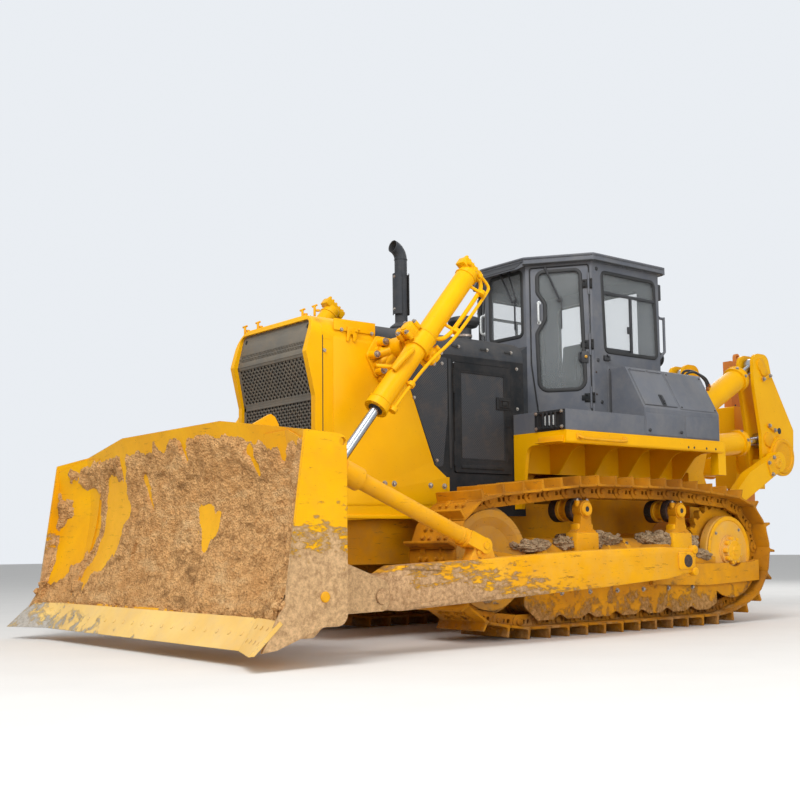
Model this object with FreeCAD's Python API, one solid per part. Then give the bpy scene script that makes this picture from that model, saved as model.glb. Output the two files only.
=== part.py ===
import FreeCAD, Part
import math
import os

# A track-type dozer with a semi-U blade, an enclosed cab and a single-shank ripper.
# Millimetres. X points forward, Y to the machine's left and Z up from the ground.
# The origin lies midway between the blade's edge and the ripper's rearmost face.

# Undercarriage
sprocket_x = -1800
wheel_base = 3160
sprocket_z = 695
idler_z = 650
pitch_radius = 480
track_gauge = 2140
shoe_width = 560
shoe_count = 41
shoe_thick = 20
shoe_seat = 30
grouser_height = 80
grouser_thick = 24
rail_depth = 57
rail_width = 48
rail_offset = 100
roller_count = 7
roller_front_x = 800
roller_pitch = 355
roller_radius = 120
flat_front_x = 1080
flat_rear_x = -1560
carrier_xs = (295, -1007)
carrier_z = 1073
final_drive_radius = 330
drum_radius = 340
carrier_radius = 102
running_gap = 0.3
frame_half_width = 190
frame_top_z = 640
guard_thick = 16
guard_low_z = 140
guard_wave = 45
idler_arm_thick = 34

# Chassis and hood
belly_z = 500
chassis_half_width = 450
chassis_top_z = 1150
case_half_width = 500
case_top_z = 1500
case_front_x = -600
case_rear_x = -2040
chassis_front_top_z = 1050
bar_x = 620
bar_half_depth = 90
bar_low_z = 560
bar_end_z = 690
bar_top_z = 800
shaft_x = -1050
shaft_z = 760
shaft_radius = 110
tow_z = 720
tow_thick = 60
tow_hole_radius = 32
hood_half_width = 587
hood_top_z = 2650
hood_side_top_z = 2440
hood_shoulder = 180
hood_split_x = 2050
nose_x = 2750
nose_z = 2328
nose_top_x = 2658
nose_low_x = 2665
nose_bend_z = 1977
hood_low_z = 970
hood_rear_x = 335
cowl_half_width = 277
cowl_top_z = 2680
guard_rear_x = 2590
guard_rim = 55
panel_thick = 20
side_panel_rear_x = 1255
side_panel_step_z = 1360
door_front_x = 1200
door_rear_x = 510
door_low_z = 1400
door_high_z = 2380
door_gap = 5
hinge_radius = 10
hinge_length = 70
hinge_sink = 3
stack_x = 1300

# Fenders and the boxes on them
fender_front_x = 485
fender_rear_x = -1770
fender_half_width = 1250
fender_inner_y = 600
fender_top_z = 1765
fender_edge = 115
fender_bottom_z = 1420
skirt_top_z = 1950
skirt_wall = 12
toolbox_front_x = -585
toolbox_rear_x = -1715
toolbox_inner_y = 850
toolbox_outer_y = 1238
toolbox_wall = 16
lid_front_x = -615
lid_rear_x = -1100
lid_margin = 30
toolbox_shoulder_z = 2030
toolbox_top_z = 2440
toolbox_top_y = 1020

# Cab
cab_front_x = -30
cab_corner_x = -400
cab_rear_x = -1390
cab_front_half = 277
cab_half_width = 800
cab_wall = 45
cab_floor_thick = 40
cab_eaves_z = 3470
cab_door_rear = 612
cab_door_low_z = 1965
cab_door_high_z = cab_eaves_z - 30
door_window_low_z = 2240
door_window_high_z = cab_eaves_z - 70
front_window_low_z = 2790
front_window_high_z = cab_eaves_z - 45
side_window_low_z = 2612
side_window_high_z = cab_eaves_z - 85
rear_window_half = 560
rear_window_low_z = 2580
rear_window_high_z = cab_eaves_z - 120
roof_thick = 75
roof_overhang = 50
glass_thick = 6
seat_front_x = -640
seat_half = 260
seat_depth = 480
seat_base_height = 330
cushion_thick = 120
back_height = 1080
console_inner_y = 330
console_outer_y = 500
console_height = 560
lever_height = 800
lever_xs = (-640, -560)
stand_height = 860
rail_radius = 14
rail_reach = 110
rail_top_z = cab_eaves_z - 430
rail_bend_z = cab_eaves_z - 770
rail_foot_z = cab_eaves_z - 870
rear_lamp_z = cab_eaves_z - 830
rear_lamp_radius = 75

# Blade. The lift hinge runs through both trunnions
trunnion_x = -555
trunnion_z = 614
trunnion_radius = 70
trunnion_boss_radius = 150
arm_inner_y = 1500
arm_outer_y = 1700
arm_pin_z = 420
arm_pin_radius = 45
blade_tip_x = 3969
blade_tip_z = 105
arm_pin_x = blade_tip_x - 1076
edge_angle = 54.5
edge_length = 253
edge_thick = 30
bit_reach = 168
bit_top_reach = 90
blade_half = 1990
edge_half = blade_half - 390
blade_crown_half = 806
end_plate = 25
blade_plate = 25
blade_lip_z = 160
blade_hollow = 0.095
blade_back_x = blade_tip_x - 680
liner_thick = 14
ear_thick = 30
# half-width, depth of the top edge behind the tip, z of the top edge
blade_sections = (
    (0, 312, 1688),
    (blade_crown_half, 312, 1688),
    (edge_half, 366, 1577),
    (blade_half, 247, 1524),
)
# half-width and z of the corner liner's upper edge
liner_top = ((1341, 1548), (1654, 1556), (blade_half, 1457))
liner_foot = (1556, 335)
blade_rib_ys = (330, 660, 1240)
hoist_lug_y = 1035

# Lift cylinders
lift_y = 1000
lift_pivot_x = 1910
lift_pivot_z = 2410
lift_eye_x = blade_tip_x - 881
lift_eye_z = 970
lift_barrel_radius = 88
lift_rod_radius = 40
lift_above = 800
lift_below = 735
lift_cap = 15
lift_gland = 45
lift_rod_inner = 245
ear_gap = 75

# Brace and tilt cylinder between the push arms and the blade's back
brace_rear_x = 1846
brace_rear_z = 765
brace_front_x = blade_tip_x - 589
brace_front_z = 1400
brace_radius = 62
brace_y = 1600
brace_pin_radius = 28
brace_eye_half = 30
lug_half = 50

# Ripper pins in side view
ripper_y = 480
arm_pivot = (-2370, 1000)
arm_tip = (-3480, 1660)
upper_base = (-2170, 2066)
upper_tip = (-3420, 2765)
lower_base = (-2270, 1775)
lower_tip = (-3515, 1922)
ripper_pin_radius = 50
ripper_barrel_radius = 125
ripper_rod_radius = 50
ripper_eye_half = 60
upper_foot = 300
upper_rod_inner = 640
upper_gland = 1110
lower_foot = 220
lower_rod_inner = 272
lower_gland = 870
boss_centre = (-3742, 1742)
boss_radius = 225
boss_thick = 30
arm_beam_y0 = 630
arm_beam_y1 = 740
plate_inner_y = 370
plate_outer_y = 550
plate_thick = 40
shank_front_x = -3620
shank_depth = 380
shank_half = 55
shank_top_z = 2900
shank_tip_z = 560
strap_thick = 75
pin_gap = 0.3
seat_gap = 0.3

track_y = track_gauge / 2
idler_x = sprocket_x + wheel_base
chassis_front_x = guard_rear_x - seat_gap
cab_floor_z = fender_top_z + seat_gap
pin_z = grouser_height + shoe_thick + shoe_seat
roller_z = pin_z + rail_depth + roller_radius + running_gap


def box(x0, x1, y0, y1, z0, z1):
    """A block between two corners."""
    return Part.makeBox(x1 - x0, y1 - y0, z1 - z0, FreeCAD.Vector(x0, y0, z0))


def bar(start, end, radius):
    """A round bar from one point to another."""
    a = FreeCAD.Vector(*start)
    b = FreeCAD.Vector(*end)
    return Part.makeCylinder(radius, (b - a).Length, a, b - a)


def disc(x, z, radius, y0, y1):
    """A round bar across the machine."""
    return bar((x, y0, z), (x, y1, z), radius)


def post(x, y, radius, z0, z1):
    """A round bar standing upright."""
    return bar((x, y, z0), (x, y, z1), radius)


def union(shapes):
    """One shape from several that touch or overlap."""
    first, *others = shapes
    return first.fuse(others).removeSplitter() if others else first


def mirrored(shape):
    """The same shape on the machine's other side."""
    return shape.mirror(FreeCAD.Vector(0, 0, 0), FreeCAD.Vector(0, 1, 0))


def both_sides(shape):
    """A shape and its mirror image, which do not touch."""
    return Part.makeCompound([shape, mirrored(shape)])


def outline_wire(points, place):
    """A closed outline. A point is (u, v) or (u, v, corner radius), and place turns it to 3-D."""
    corners = []
    for i, point in enumerate(points):
        here = FreeCAD.Vector(point[0], point[1], 0)
        radius = point[2] if len(point) > 2 else 0
        if not radius:
            corners.append((here, None, here))
            continue
        before = points[i - 1]
        after = points[(i + 1) % len(points)]
        to_before = (FreeCAD.Vector(before[0], before[1], 0) - here).normalize()
        to_after = (FreeCAD.Vector(after[0], after[1], 0) - here).normalize()
        half = to_before.getAngle(to_after) / 2
        inward = (to_before + to_after).normalize()
        centre = here + inward * (radius / math.sin(half))
        reach = radius / math.tan(half)
        corners.append((here + to_before * reach, centre - inward * radius, here + to_after * reach))
    edges = []
    for i, (entry, middle, leave) in enumerate(corners):
        if middle:
            edges.append(Part.Arc(place(entry), place(middle), place(leave)).toShape())
        following = corners[(i + 1) % len(corners)][0]
        if leave.distanceToPoint(following) > 0.01:
            edges.append(Part.makeLine(place(leave), place(following)))
    return Part.Wire(edges)


def plate_y(points, y0, y1):
    """A plate with a side-view outline of (x, z) points."""
    wire = outline_wire(points, lambda p: FreeCAD.Vector(p.x, y0, p.y))
    return Part.Face(wire).extrude(FreeCAD.Vector(0, y1 - y0, 0))


def plate_x(points, x0, x1):
    """A plate with a front-view outline of (y, z) points."""
    wire = outline_wire(points, lambda p: FreeCAD.Vector(x0, p.x, p.y))
    return Part.Face(wire).extrude(FreeCAD.Vector(x1 - x0, 0, 0))


def plate_z(points, z0, z1):
    """A plate with a plan-view outline of (x, y) points."""
    wire = outline_wire(points, lambda p: FreeCAD.Vector(p.x, p.y, z0))
    return Part.Face(wire).extrude(FreeCAD.Vector(0, 0, z1 - z0))


def tube(start, end, outer, inner):
    """A round tube from one point to another."""
    return bar(start, end, outer).cut(bar(start, end, inner))


def along(start, end, distance):
    """The point at a distance from start towards end."""
    a = FreeCAD.Vector(*start)
    b = FreeCAD.Vector(*end)
    p = a + (b - a).normalize() * distance
    return (p.x, p.y, p.z)


def save(node, shape):
    """Writes one sub-part and stops where a solid is broken."""
    if not shape.isValid() or not shape.Solids:
        raise ValueError(node + " is not a valid solid")
    shape.exportStep("parts/" + node + ".step")


def belt_path(circles):
    """Lines and arcs of a belt round circles of (x, z, radius), counter-clockwise in side view."""
    normals = []
    for i, (x, z, r) in enumerate(circles):
        nx, nz, nr = circles[(i + 1) % len(circles)]
        distance = math.hypot(nx - x, nz - z)
        heading = math.atan2(nz - z, nx - x)
        normals.append(heading - math.acos((r - nr) / distance))
    spans = []
    for i, (x, z, r) in enumerate(circles):
        turn = (normals[i] - normals[i - 1]) % (2 * math.pi)
        spans.append(("arc", x, z, r, normals[i - 1], turn, r * turn))
        nx, nz, nr = circles[(i + 1) % len(circles)]
        a = normals[i]
        start = (x + r * math.cos(a), z + r * math.sin(a))
        end = (nx + nr * math.cos(a), nz + nr * math.sin(a))
        spans.append(("line", start, end, a, math.dist(start, end)))
    return spans


def belt_point(spans, distance):
    """The place and outward normal at a distance along the belt."""
    for span in spans:
        length = span[-1]
        if distance > length:
            distance -= length
            continue
        if span[0] == "line":
            (x0, z0), (x1, z1), a = span[1], span[2], span[3]
            share = distance / length
            return (x0 + (x1 - x0) * share, z0 + (z1 - z0) * share, a)
        x, z, r, first, turn = span[1:6]
        a = first + turn * distance / length
        return (x + r * math.cos(a), z + r * math.sin(a), a)
    return belt_point(spans, distance - 0.001)


def track_pins():
    """The pin centres of one track, evenly spaced round its wheels."""
    carrier_line = carrier_radius + rail_depth + 8
    wheels = [(sprocket_x, sprocket_z, pitch_radius)]
    wheels.append((flat_rear_x, roller_z, roller_z - pin_z))
    wheels.append((flat_front_x, roller_z, roller_z - pin_z))
    wheels.append((idler_x, idler_z, pitch_radius))
    wheels += [(x, carrier_z, carrier_line) for x in carrier_xs]
    spans = belt_path(wheels)
    length = sum(span[-1] for span in spans)
    print("track length", round(length), "shoe pitch", round(length / shoe_count, 1))
    return [belt_point(spans, length * i / shoe_count) for i in range(shoe_count)]


def offset_points(pins, height):
    """Pin centres moved outwards, square to the belt."""
    return [(x + height * math.cos(a), z + height * math.sin(a)) for x, z, a in pins]


def track_loop():
    """One closed track: shoes with single grousers over two chain rails."""
    pins = track_pins()
    top = shoe_seat + shoe_thick
    outer = []
    for i, (x, z, a) in enumerate(pins):
        nx, nz, na = pins[(i + 1) % shoe_count]
        gap = math.dist((x, z), (nx, nz))
        ux, uz = (nx - x) / gap, (nz - z) / gap
        vx, vz = uz, -ux
        for forward, out in ((6, top), (8, top + grouser_height),
                             (8 + grouser_thick, top + grouser_height),
                             (10 + grouser_thick, top), (gap - 6, top)):
            outer.append((x + ux * forward + vx * out, z + uz * forward + vz * out))
    half = shoe_width / 2
    shoes = plate_y(outer, track_y - half, track_y + half)
    shoes = shoes.cut(plate_y(offset_points(pins, shoe_seat), track_y - half - 1, track_y + half + 1))
    rails = []
    for side in (-1, 1):
        y0 = track_y + side * rail_offset - rail_width / 2
        rail = plate_y(offset_points(pins, shoe_seat + 4), y0, y0 + rail_width)
        rails.append(rail.cut(plate_y(offset_points(pins, -rail_depth), y0 - 1, y0 + rail_width + 1)))
    return union([shoes] + rails)


def sprocket():
    """The toothed drive wheel that runs between the chain rails."""
    teeth = 26
    root = pitch_radius - 62
    tip = pitch_radius - 12
    points = []
    for i in range(teeth):
        for share, radius in ((-0.30, root), (-0.14, tip), (0.14, tip), (0.30, root)):
            a = 2 * math.pi * (i + share) / teeth
            points.append((sprocket_x + radius * math.cos(a), sprocket_z + radius * math.sin(a)))
    rim = plate_y(points, track_y - 32, track_y + 32)
    hub = disc(sprocket_x, sprocket_z, 250, track_y - 60, track_y + 60)
    bore = disc(sprocket_x, sprocket_z, 140 + seat_gap, track_y - 70, track_y + 70)
    return union([rim, hub]).cut(bore)


def final_drive():
    """Final-drive case inside the sprocket, its outer cover and the scalloped hub."""
    x, z = sprocket_x, sprocket_z
    inner_end = track_y - frame_half_width - 4
    inner = disc(x, z, final_drive_radius, case_half_width + seat_gap, inner_end)
    neck = disc(x, z, 140, inner_end, track_y + 90)
    r = drum_radius
    half_profile = [(0, 75), (r, 75), (r, 150, 12), (r - 22, 168, 20), (0, 168)]
    profile = outline_wire(half_profile, lambda p: FreeCAD.Vector(x + p.x, track_y + p.y, z))
    cover = Part.Face(profile).revolve(FreeCAD.Vector(x, 0, z), FreeCAD.Vector(0, 1, 0), 360)
    flange = disc(x, z, 150, track_y + 160, track_y + 195)
    hub = disc(x, z, 118, track_y + 160, track_y + 240)
    for i in range(10):
        a = 2 * math.pi * i / 10
        hub = hub.cut(disc(x + 122 * math.cos(a), z + 122 * math.sin(a), 24, track_y + 205, track_y + 250))
    return union([inner, neck, cover, flange, hub])


def idler():
    """The front wheel, with its centre flange between the chain rails, on its axle."""
    tread = (pitch_radius - rail_depth) * math.cos(math.pi / 13.2) - 1
    wheel = disc(idler_x, idler_z, tread, track_y - 130, track_y + 130)
    flange = disc(idler_x, idler_z, pitch_radius - 30, track_y - 60, track_y + 60)
    wheel = union([wheel, flange])
    for side in (-1, 1):
        face = FreeCAD.Vector(idler_x, track_y + side * 130, idler_z)
        wheel = wheel.cut(Part.makeCone(tread - 60, tread - 130, 40, face, FreeCAD.Vector(0, -side, 0)))
    reach = frame_half_width - guard_thick
    hub_reach = reach - idler_arm_thick - seat_gap
    hub = disc(idler_x, idler_z, 95, track_y - hub_reach, track_y + hub_reach)
    axle = disc(idler_x, idler_z, 45, track_y - reach, track_y + reach)
    return union([wheel, hub, axle])


def track_roller(x, flange):
    """A bottom roller with flanges outside the rails, on a through axle."""
    parts = [disc(x, roller_z, roller_radius, track_y - 150, track_y + 150)]
    for side in (-1, 1):
        y = track_y + side * (rail_offset + rail_width / 2 + 6)
        parts.append(disc(x, roller_z, flange, min(y, y + side * 22), max(y, y + side * 22)))
    parts.append(disc(x, roller_z, 38, track_y - frame_half_width + guard_thick + running_gap,
                      track_y + frame_half_width - guard_thick - running_gap))
    return union(parts)


def track_rollers():
    """All the bottom rollers of one side."""
    solids = []
    for i in range(roller_count):
        flange = roller_radius + (20 if i % 2 == 0 else 14)
        solids.append(track_roller(roller_front_x - i * roller_pitch, flange))
    return solids


def carrier_roller(x):
    """A top roller carried at its outer end."""
    tread = disc(x, carrier_z, carrier_radius, track_y - 140, track_y + 118)
    neck = disc(x, carrier_z, 45, track_y + 118, track_y + 150)
    waist = tube((x, track_y - 35, carrier_z), (x, track_y + 35, carrier_z), carrier_radius + 1, 80)
    return union([tread.cut(waist), neck])


def track_frame():
    """The roller frame: beam, guards, recoil housing, carrier pedestals and trunnion."""
    y = track_y
    w = frame_half_width
    beam_front_x = idler_x - pitch_radius - 20
    rear_x = sprocket_x + 250
    beam = box(rear_x, beam_front_x, y - w + guard_thick, y + w - guard_thick, frame_top_z - 175, frame_top_z)
    parts = [beam, roller_guard(y + w - guard_thick, True), roller_guard(y - w, False)]
    housing = bar((rear_x + 330, y, frame_top_z), (beam_front_x, y, frame_top_z), 185)
    parts.append(housing.cut(box(rear_x, beam_front_x + 1, y - 300, y + 300, 0, frame_top_z - 60)))
    for x in carrier_xs:
        parts.append(plate_y([(x - 130, frame_top_z), (x - 130, 880, 20), (x - 75, 910), (x - 55, carrier_z),
                              (x + 55, carrier_z), (x + 75, 910), (x + 130, 880, 20), (x + 130, frame_top_z)],
                             y + 122, y + 210))
        parts.append(box(x - 130, x + 130, y, y + 140, frame_top_z, frame_top_z + 130))
        parts.append(disc(x, carrier_z, 78, y + 122, y + 215))
    for side in (-1, 1):
        y0 = y + (w - guard_thick - idler_arm_thick if side > 0 else -w + guard_thick)
        parts.append(plate_y([(beam_front_x - 60, 530), (idler_x + 40, 570, 30), (idler_x + 110, idler_z, 40),
                              (idler_x + 40, 730, 30), (beam_front_x - 60, frame_top_z)], y0, y0 + idler_arm_thick))
    parts.append(disc(trunnion_x, trunnion_z, trunnion_boss_radius, y + w - 40, arm_inner_y - 40))
    parts.append(disc(trunnion_x, trunnion_z, trunnion_radius, y + w, arm_outer_y - 60))
    outer_beam = plate_y([(sprocket_x - 390, 400), (rear_x + 200, 370, 60), (rear_x + 1000, 400), (rear_x + 1000, 577),
                          (sprocket_x + 200, 577), (sprocket_x - 240, 577, 60), (sprocket_x - 390, 606, 15)],
                         y + w - guard_thick, y + w + 45)
    parts.append(outer_beam.cut(disc(sprocket_x, sprocket_z, 155, y, y + w + 60)))
    frame = union(parts)
    for x in carrier_xs:
        frame = frame.cut(disc(x, carrier_z, 45 + seat_gap, y + 100, y + 150 + seat_gap))
    frame = frame.cut(disc(idler_x, idler_z, 45 + seat_gap, y - 180, y + 180))
    frame = frame.cut(disc(sprocket_x, sprocket_z, drum_radius + 5, y + 70, y + w - guard_thick))
    return frame.cut(disc(sprocket_x, sprocket_z, pitch_radius, y - 50, y + 50))


def chassis():
    """The welded main frame with its belly guard, steering case and front cross-member."""
    w = chassis_half_width
    rails = []
    for side in (-1, 1):
        rails.append(plate_y([(case_front_x, 620), (chassis_front_x, 620, 60), (chassis_front_x, 980, 40),
                              (2000, chassis_top_z), (case_front_x, chassis_top_z)],
                             min(side * w, side * (w - 90)), max(side * w, side * (w - 90))))
    belly = plate_y([(case_rear_x + 40, 700), (case_rear_x + 240, belly_z), (2300, belly_z), (chassis_front_x, 640),
                     (chassis_front_x, 660), (2290, belly_z + 25), (case_rear_x + 250, belly_z + 25),
                     (case_rear_x + 60, 710)], -w, w)
    case = plate_y([(case_rear_x, 720, 80), (case_rear_x, case_top_z, 60), (case_front_x - 300, case_top_z),
                    (case_front_x + 60, chassis_top_z), (case_front_x + 60, belly_z + 40), (case_rear_x + 240, belly_z + 20)],
                   -case_half_width, case_half_width)
    cross = box(chassis_front_x - 300, chassis_front_x, -w, w, 640, chassis_front_top_z)
    deck = box(case_front_x, 2000, -w, w, chassis_top_z - 20, chassis_top_z)
    tow = plate_z([(chassis_front_x - 80, -80), (chassis_front_x - 80, 80), (chassis_front_x + 30, 80, 30),
                   (chassis_front_x + 110, 50, 40), (chassis_front_x + 110, -50, 40), (chassis_front_x + 30, -80, 30)],
                  tow_z, tow_z + tow_thick)
    stays = []
    for side in (-1, 1):
        for x, low in ((-1700, case_top_z - 60), (-1200, case_top_z - 60), (150, chassis_top_z)):
            y0, y1 = sorted((side * (w - 90), side * (fender_inner_y - seat_gap)))
            stays.append(box(x - 60, x + 60, y0, y1, case_top_z - 60, case_top_z))
            y0, y1 = sorted((side * (w - 90), side * w))
            stays.append(box(x - 60, x + 60, y0, y1, low - 1, case_top_z))
    frame = union(rails + [belly, case, cross, deck, tow] + stays)
    frame = frame.cut(post(chassis_front_x + 60, 0, tow_hole_radius, tow_z - 1, tow_z + tow_thick + 1))
    frame = frame.cut(disc(shaft_x, shaft_z, shaft_radius + seat_gap, -w - 200, w + 200))
    reach = bar_half_depth + seat_gap
    return frame.cut(box(bar_x - reach, bar_x + reach, -w - 1, w + 1, bar_low_z - seat_gap, bar_top_z + seat_gap))


def equalizer_bar():
    """The beam across the front that lets the track frames rock."""
    reach = track_y - frame_half_width - seat_gap
    crown = 300
    outline = [(-reach, bar_low_z), (-reach, bar_end_z, 20), (-crown, bar_top_z, 60), (crown, bar_top_z, 60),
               (reach, bar_end_z, 20), (reach, bar_low_z)]
    return plate_x(outline, bar_x - bar_half_depth, bar_x + bar_half_depth)


def pivot_shaft():
    """The shaft across the rear on which the track frames pivot."""
    reach = track_y - frame_half_width - seat_gap
    return disc(shaft_x, shaft_z, shaft_radius, -reach, reach)


def hood_section(x0, x1, half, top, low):
    """A solid length of hood with rounded shoulders."""
    return plate_x([(-half, low), (-half, top, hood_shoulder), (half, top, hood_shoulder), (half, low)], x0, x1)


def radiator_guard():
    """The nose: a thick frame round the grille with a bent front profile."""
    profile = [(guard_rear_x, hood_low_z), (guard_rear_x, hood_top_z), (nose_top_x, hood_top_z, 12),
               (nose_x, nose_z, 30), (nose_low_x, nose_bend_z, 20), (nose_low_x, hood_low_z)]
    body = plate_y(profile, -hood_half_width, hood_half_width)
    body = body.common(hood_section(guard_rear_x, nose_x, hood_half_width, hood_top_z, hood_low_z))
    return body.cut(guard_opening(0))


def guard_opening(gap):
    """The opening in the nose that the grille fills, drawn in by a gap."""
    half = hood_half_width - guard_rim - gap
    low = hood_low_z + 90 + gap
    high = hood_top_z - 45 - gap
    return plate_x([(-half, low, 20), (-half, high, 60), (half, high, 60), (half, low, 20)],
                   guard_rear_x - 1, nose_x + 1)


def radiator_grille():
    """Three stamped panels behind the nose rim: a slanted top plate and two mesh panels."""
    half = hood_half_width
    inset = 34
    top = (nose_top_x - inset, hood_top_z)
    nose = (nose_x - inset - 16, nose_z)
    bend = (nose_low_x - inset, nose_bend_z)
    low = (nose_low_x - inset, hood_low_z)
    back = 14
    points = [top, nose, bend, low, (low[0] - back, low[1]), (bend[0] - back, bend[1]),
              (nose[0] - back, nose[1]), (top[0] - back, top[1])]
    grille = plate_y(points, -half, half).common(guard_opening(seat_gap))
    for y in (-430, 430):
        grille = grille.cut(bar((nose_x - 200, y, 2540), (nose_x + 50, y, 2540), 22))
    return grille


def hood_front():
    """The yellow top over the radiator."""
    outer = hood_section(hood_split_x, guard_rear_x - seat_gap, hood_half_width, hood_top_z, hood_side_top_z)
    inner = hood_section(hood_split_x - 1, guard_rear_x, hood_half_width - panel_thick, hood_top_z - panel_thick,
                         hood_side_top_z - 1)
    return outer.cut(inner)


def hood_rear():
    """The dark top from the radiator to the cab, with the exhaust's opening."""
    x0 = hood_rear_x
    outer = hood_section(x0, hood_split_x - seat_gap, hood_half_width, hood_top_z - 10, hood_side_top_z)
    inner = hood_section(x0 - 1, hood_split_x, hood_half_width - panel_thick, hood_top_z - 10 - panel_thick,
                         hood_side_top_z - 1)
    return outer.cut(inner)


def side_panel():
    """One yellow side of the nose, with its slanted rear edge."""
    points = [(guard_rear_x - seat_gap, hood_low_z), (guard_rear_x - seat_gap, hood_side_top_z - seat_gap),
              (hood_split_x - 230, hood_side_top_z - seat_gap), (side_panel_rear_x + 130, side_panel_step_z, 15),
              (side_panel_rear_x, side_panel_step_z), (side_panel_rear_x, hood_low_z + 60)]
    return plate_y(points, hood_half_width - panel_thick, hood_half_width)


def rear_panel():
    """The dark panel behind the yellow side, cut out for the engine door."""
    g = seat_gap
    points = [(hood_split_x - 230 - 2 * g, hood_side_top_z - g),
              (side_panel_rear_x + 130 - 2 * g, side_panel_step_z + g, 15),
              (side_panel_rear_x - g, side_panel_step_z + g), (side_panel_rear_x - g, hood_low_z + 60),
              (hood_rear_x, hood_low_z + 60), (hood_rear_x, hood_side_top_z - g)]
    panel = plate_y(points, hood_half_width - panel_thick, hood_half_width)
    hole = plate_y([(door_rear_x, door_low_z, 20), (door_front_x, door_low_z, 20), (door_front_x, door_high_z, 20),
                    (door_rear_x, door_high_z, 20)], hood_half_width - 100, hood_half_width + 100)
    return hinged(panel.cut(hole), *engine_door_hinge(), False)


def bulkhead():
    """The wall behind the engine and the cowl under the windshield."""
    wall = box(hood_rear_x, hood_rear_x + 18, -hood_half_width + panel_thick + seat_gap,
               hood_half_width - panel_thick - seat_gap, chassis_top_z + seat_gap, hood_side_top_z)
    y = cowl_half_width
    cowl = plate_y([(cab_front_x + seat_gap, chassis_top_z + seat_gap), (hood_rear_x + 5, chassis_top_z + seat_gap),
                    (hood_rear_x + 5, hood_side_top_z), (cab_front_x + seat_gap, cowl_top_z)], -y, y)
    return union([wall, cowl])


def engine_door():
    """A side door with a mesh window in a raised frame, hinged at its front edge."""
    g = door_gap
    leaf = plate_y([(door_rear_x + g, door_low_z + g, 18), (door_front_x - g, door_low_z + g, 18),
                    (door_front_x - g, door_high_z - g, 18), (door_rear_x + g, door_high_z - g, 18)],
                   hood_half_width - 12, hood_half_width + 14)
    recess = plate_y([(door_rear_x + 60, door_low_z + 110, 20), (door_front_x - 70, door_low_z + 110, 20),
                      (door_front_x - 70, door_high_z - 70, 20), (door_rear_x + 60, door_high_z - 70, 20)],
                     hood_half_width + 4, hood_half_width + 20)
    latch = box(door_rear_x + 20, door_rear_x + 70, hood_half_width + 13, hood_half_width + 22, 1830, 1910)
    return hinged(union([leaf.cut(recess), latch]), *engine_door_hinge(), True)


def engine_block():
    """The engine as one plain block on the chassis."""
    return box(450, 1950, -330, 330, chassis_top_z + seat_gap, 2150)


def radiator_core():
    """The radiator behind the grille, on the front cross-member."""
    return box(2355, 2495, -480, 480, chassis_front_top_z + seat_gap, 2500)


def exhaust_stack():
    """A straight pipe on a flange, with an elbow that opens forward and two curved shields."""
    base_z = hood_top_z - 10 + 0.3
    turn_z = 3390
    bend = 120
    pipe_r = 58
    wall = 5
    foot = post(stack_x, 0, 105, base_z, base_z + 70)
    collar = post(stack_x, 0, 92, base_z + 70, base_z + 130)
    pipe = post(stack_x, 0, pipe_r, base_z + 130, turn_z)
    ring = Part.Face(Part.Wire(Part.makeCircle(pipe_r, FreeCAD.Vector(stack_x, 0, turn_z), FreeCAD.Vector(0, 0, 1))))
    elbow = ring.revolve(FreeCAD.Vector(stack_x + bend, 0, turn_z), FreeCAD.Vector(0, 1, 0), 78)
    mouth = Part.Face(Part.Wire(Part.makeCircle(pipe_r - wall, FreeCAD.Vector(stack_x, 0, turn_z),
                                                FreeCAD.Vector(0, 0, 1))))
    bore = mouth.revolve(FreeCAD.Vector(stack_x + bend, 0, turn_z), FreeCAD.Vector(0, 1, 0), 79)
    stack = union([foot, collar, pipe, elbow]).cut(bore).cut(post(stack_x, 0, pipe_r - wall, turn_z - 500, turn_z))
    shields = []
    for x0, x1 in ((40, 78), (-78, -40)):
        shell = tube((stack_x, 0, 2880), (stack_x, 0, 3260), 78, 73)
        shields.append(shell.common(box(stack_x + x0, stack_x + x1, -80, 80, 2870, 3270)))
        clip_x = stack_x + (50 if x0 > 0 else -75)
        for z in (2920, 3220):
            shields.append(box(clip_x, clip_x + 25, -10, 10, z, z + 12))
    return union([stack] + shields)


def pre_cleaner():
    """The mushroom-shaped air inlet beside the exhaust."""
    x, y, z = 830, 330, hood_top_z - 10 + 0.3
    profile = outline_wire([(0, 0), (70, 0), (70, 110), (120, 125), (150, 165, 20), (140, 205, 20), (0, 235)],
                           lambda p: FreeCAD.Vector(x + p.x, y, z + p.y))
    return Part.Face(profile).revolve(FreeCAD.Vector(x, y, z), FreeCAD.Vector(0, 0, 1), 360)


def fender():
    """The deck over one track: top plate, rounded edge beam, front wall and arched gussets."""
    y0, y1 = fender_inner_y, fender_half_width
    top = fender_top_z
    deck = box(fender_rear_x, fender_front_x, y0, y1, top - 14, top)
    edge = plate_x([(y1 - 40, top - 10), (y1 - 40, top - fender_edge, 12), (y1, top - fender_edge, 25),
                    (y1, top, 18), (y1 - 60, top)], fender_rear_x, fender_front_x)
    front = plate_x([(y0, fender_bottom_z - 330), (y0, top), (y1 - 20, top), (y1 - 20, top - fender_edge),
                     (y0 + 170, top - fender_edge, 90), (y0 + 90, fender_bottom_z - 330)],
                    fender_front_x - 40, fender_front_x)
    wall = box(fender_rear_x, fender_front_x, y0, y0 + 14, fender_bottom_z, top)
    parts = [deck, edge, front, wall]
    for x in (20, -460, -940, -1420, fender_rear_x):
        parts.append(plate_x([(y0, fender_bottom_z), (y0, top), (y1 - 20, top), (y1 - 20, top - fender_edge + 20),
                              (y0 + 330, top - fender_edge + 10, 200), (y0 + 120, fender_bottom_z)], x, x + 14))
    step = box(fender_rear_x - 60, fender_rear_x + 60, y1 - 120, y1 - 30, top - 330, top - 20)
    return union(parts + [step])


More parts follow.
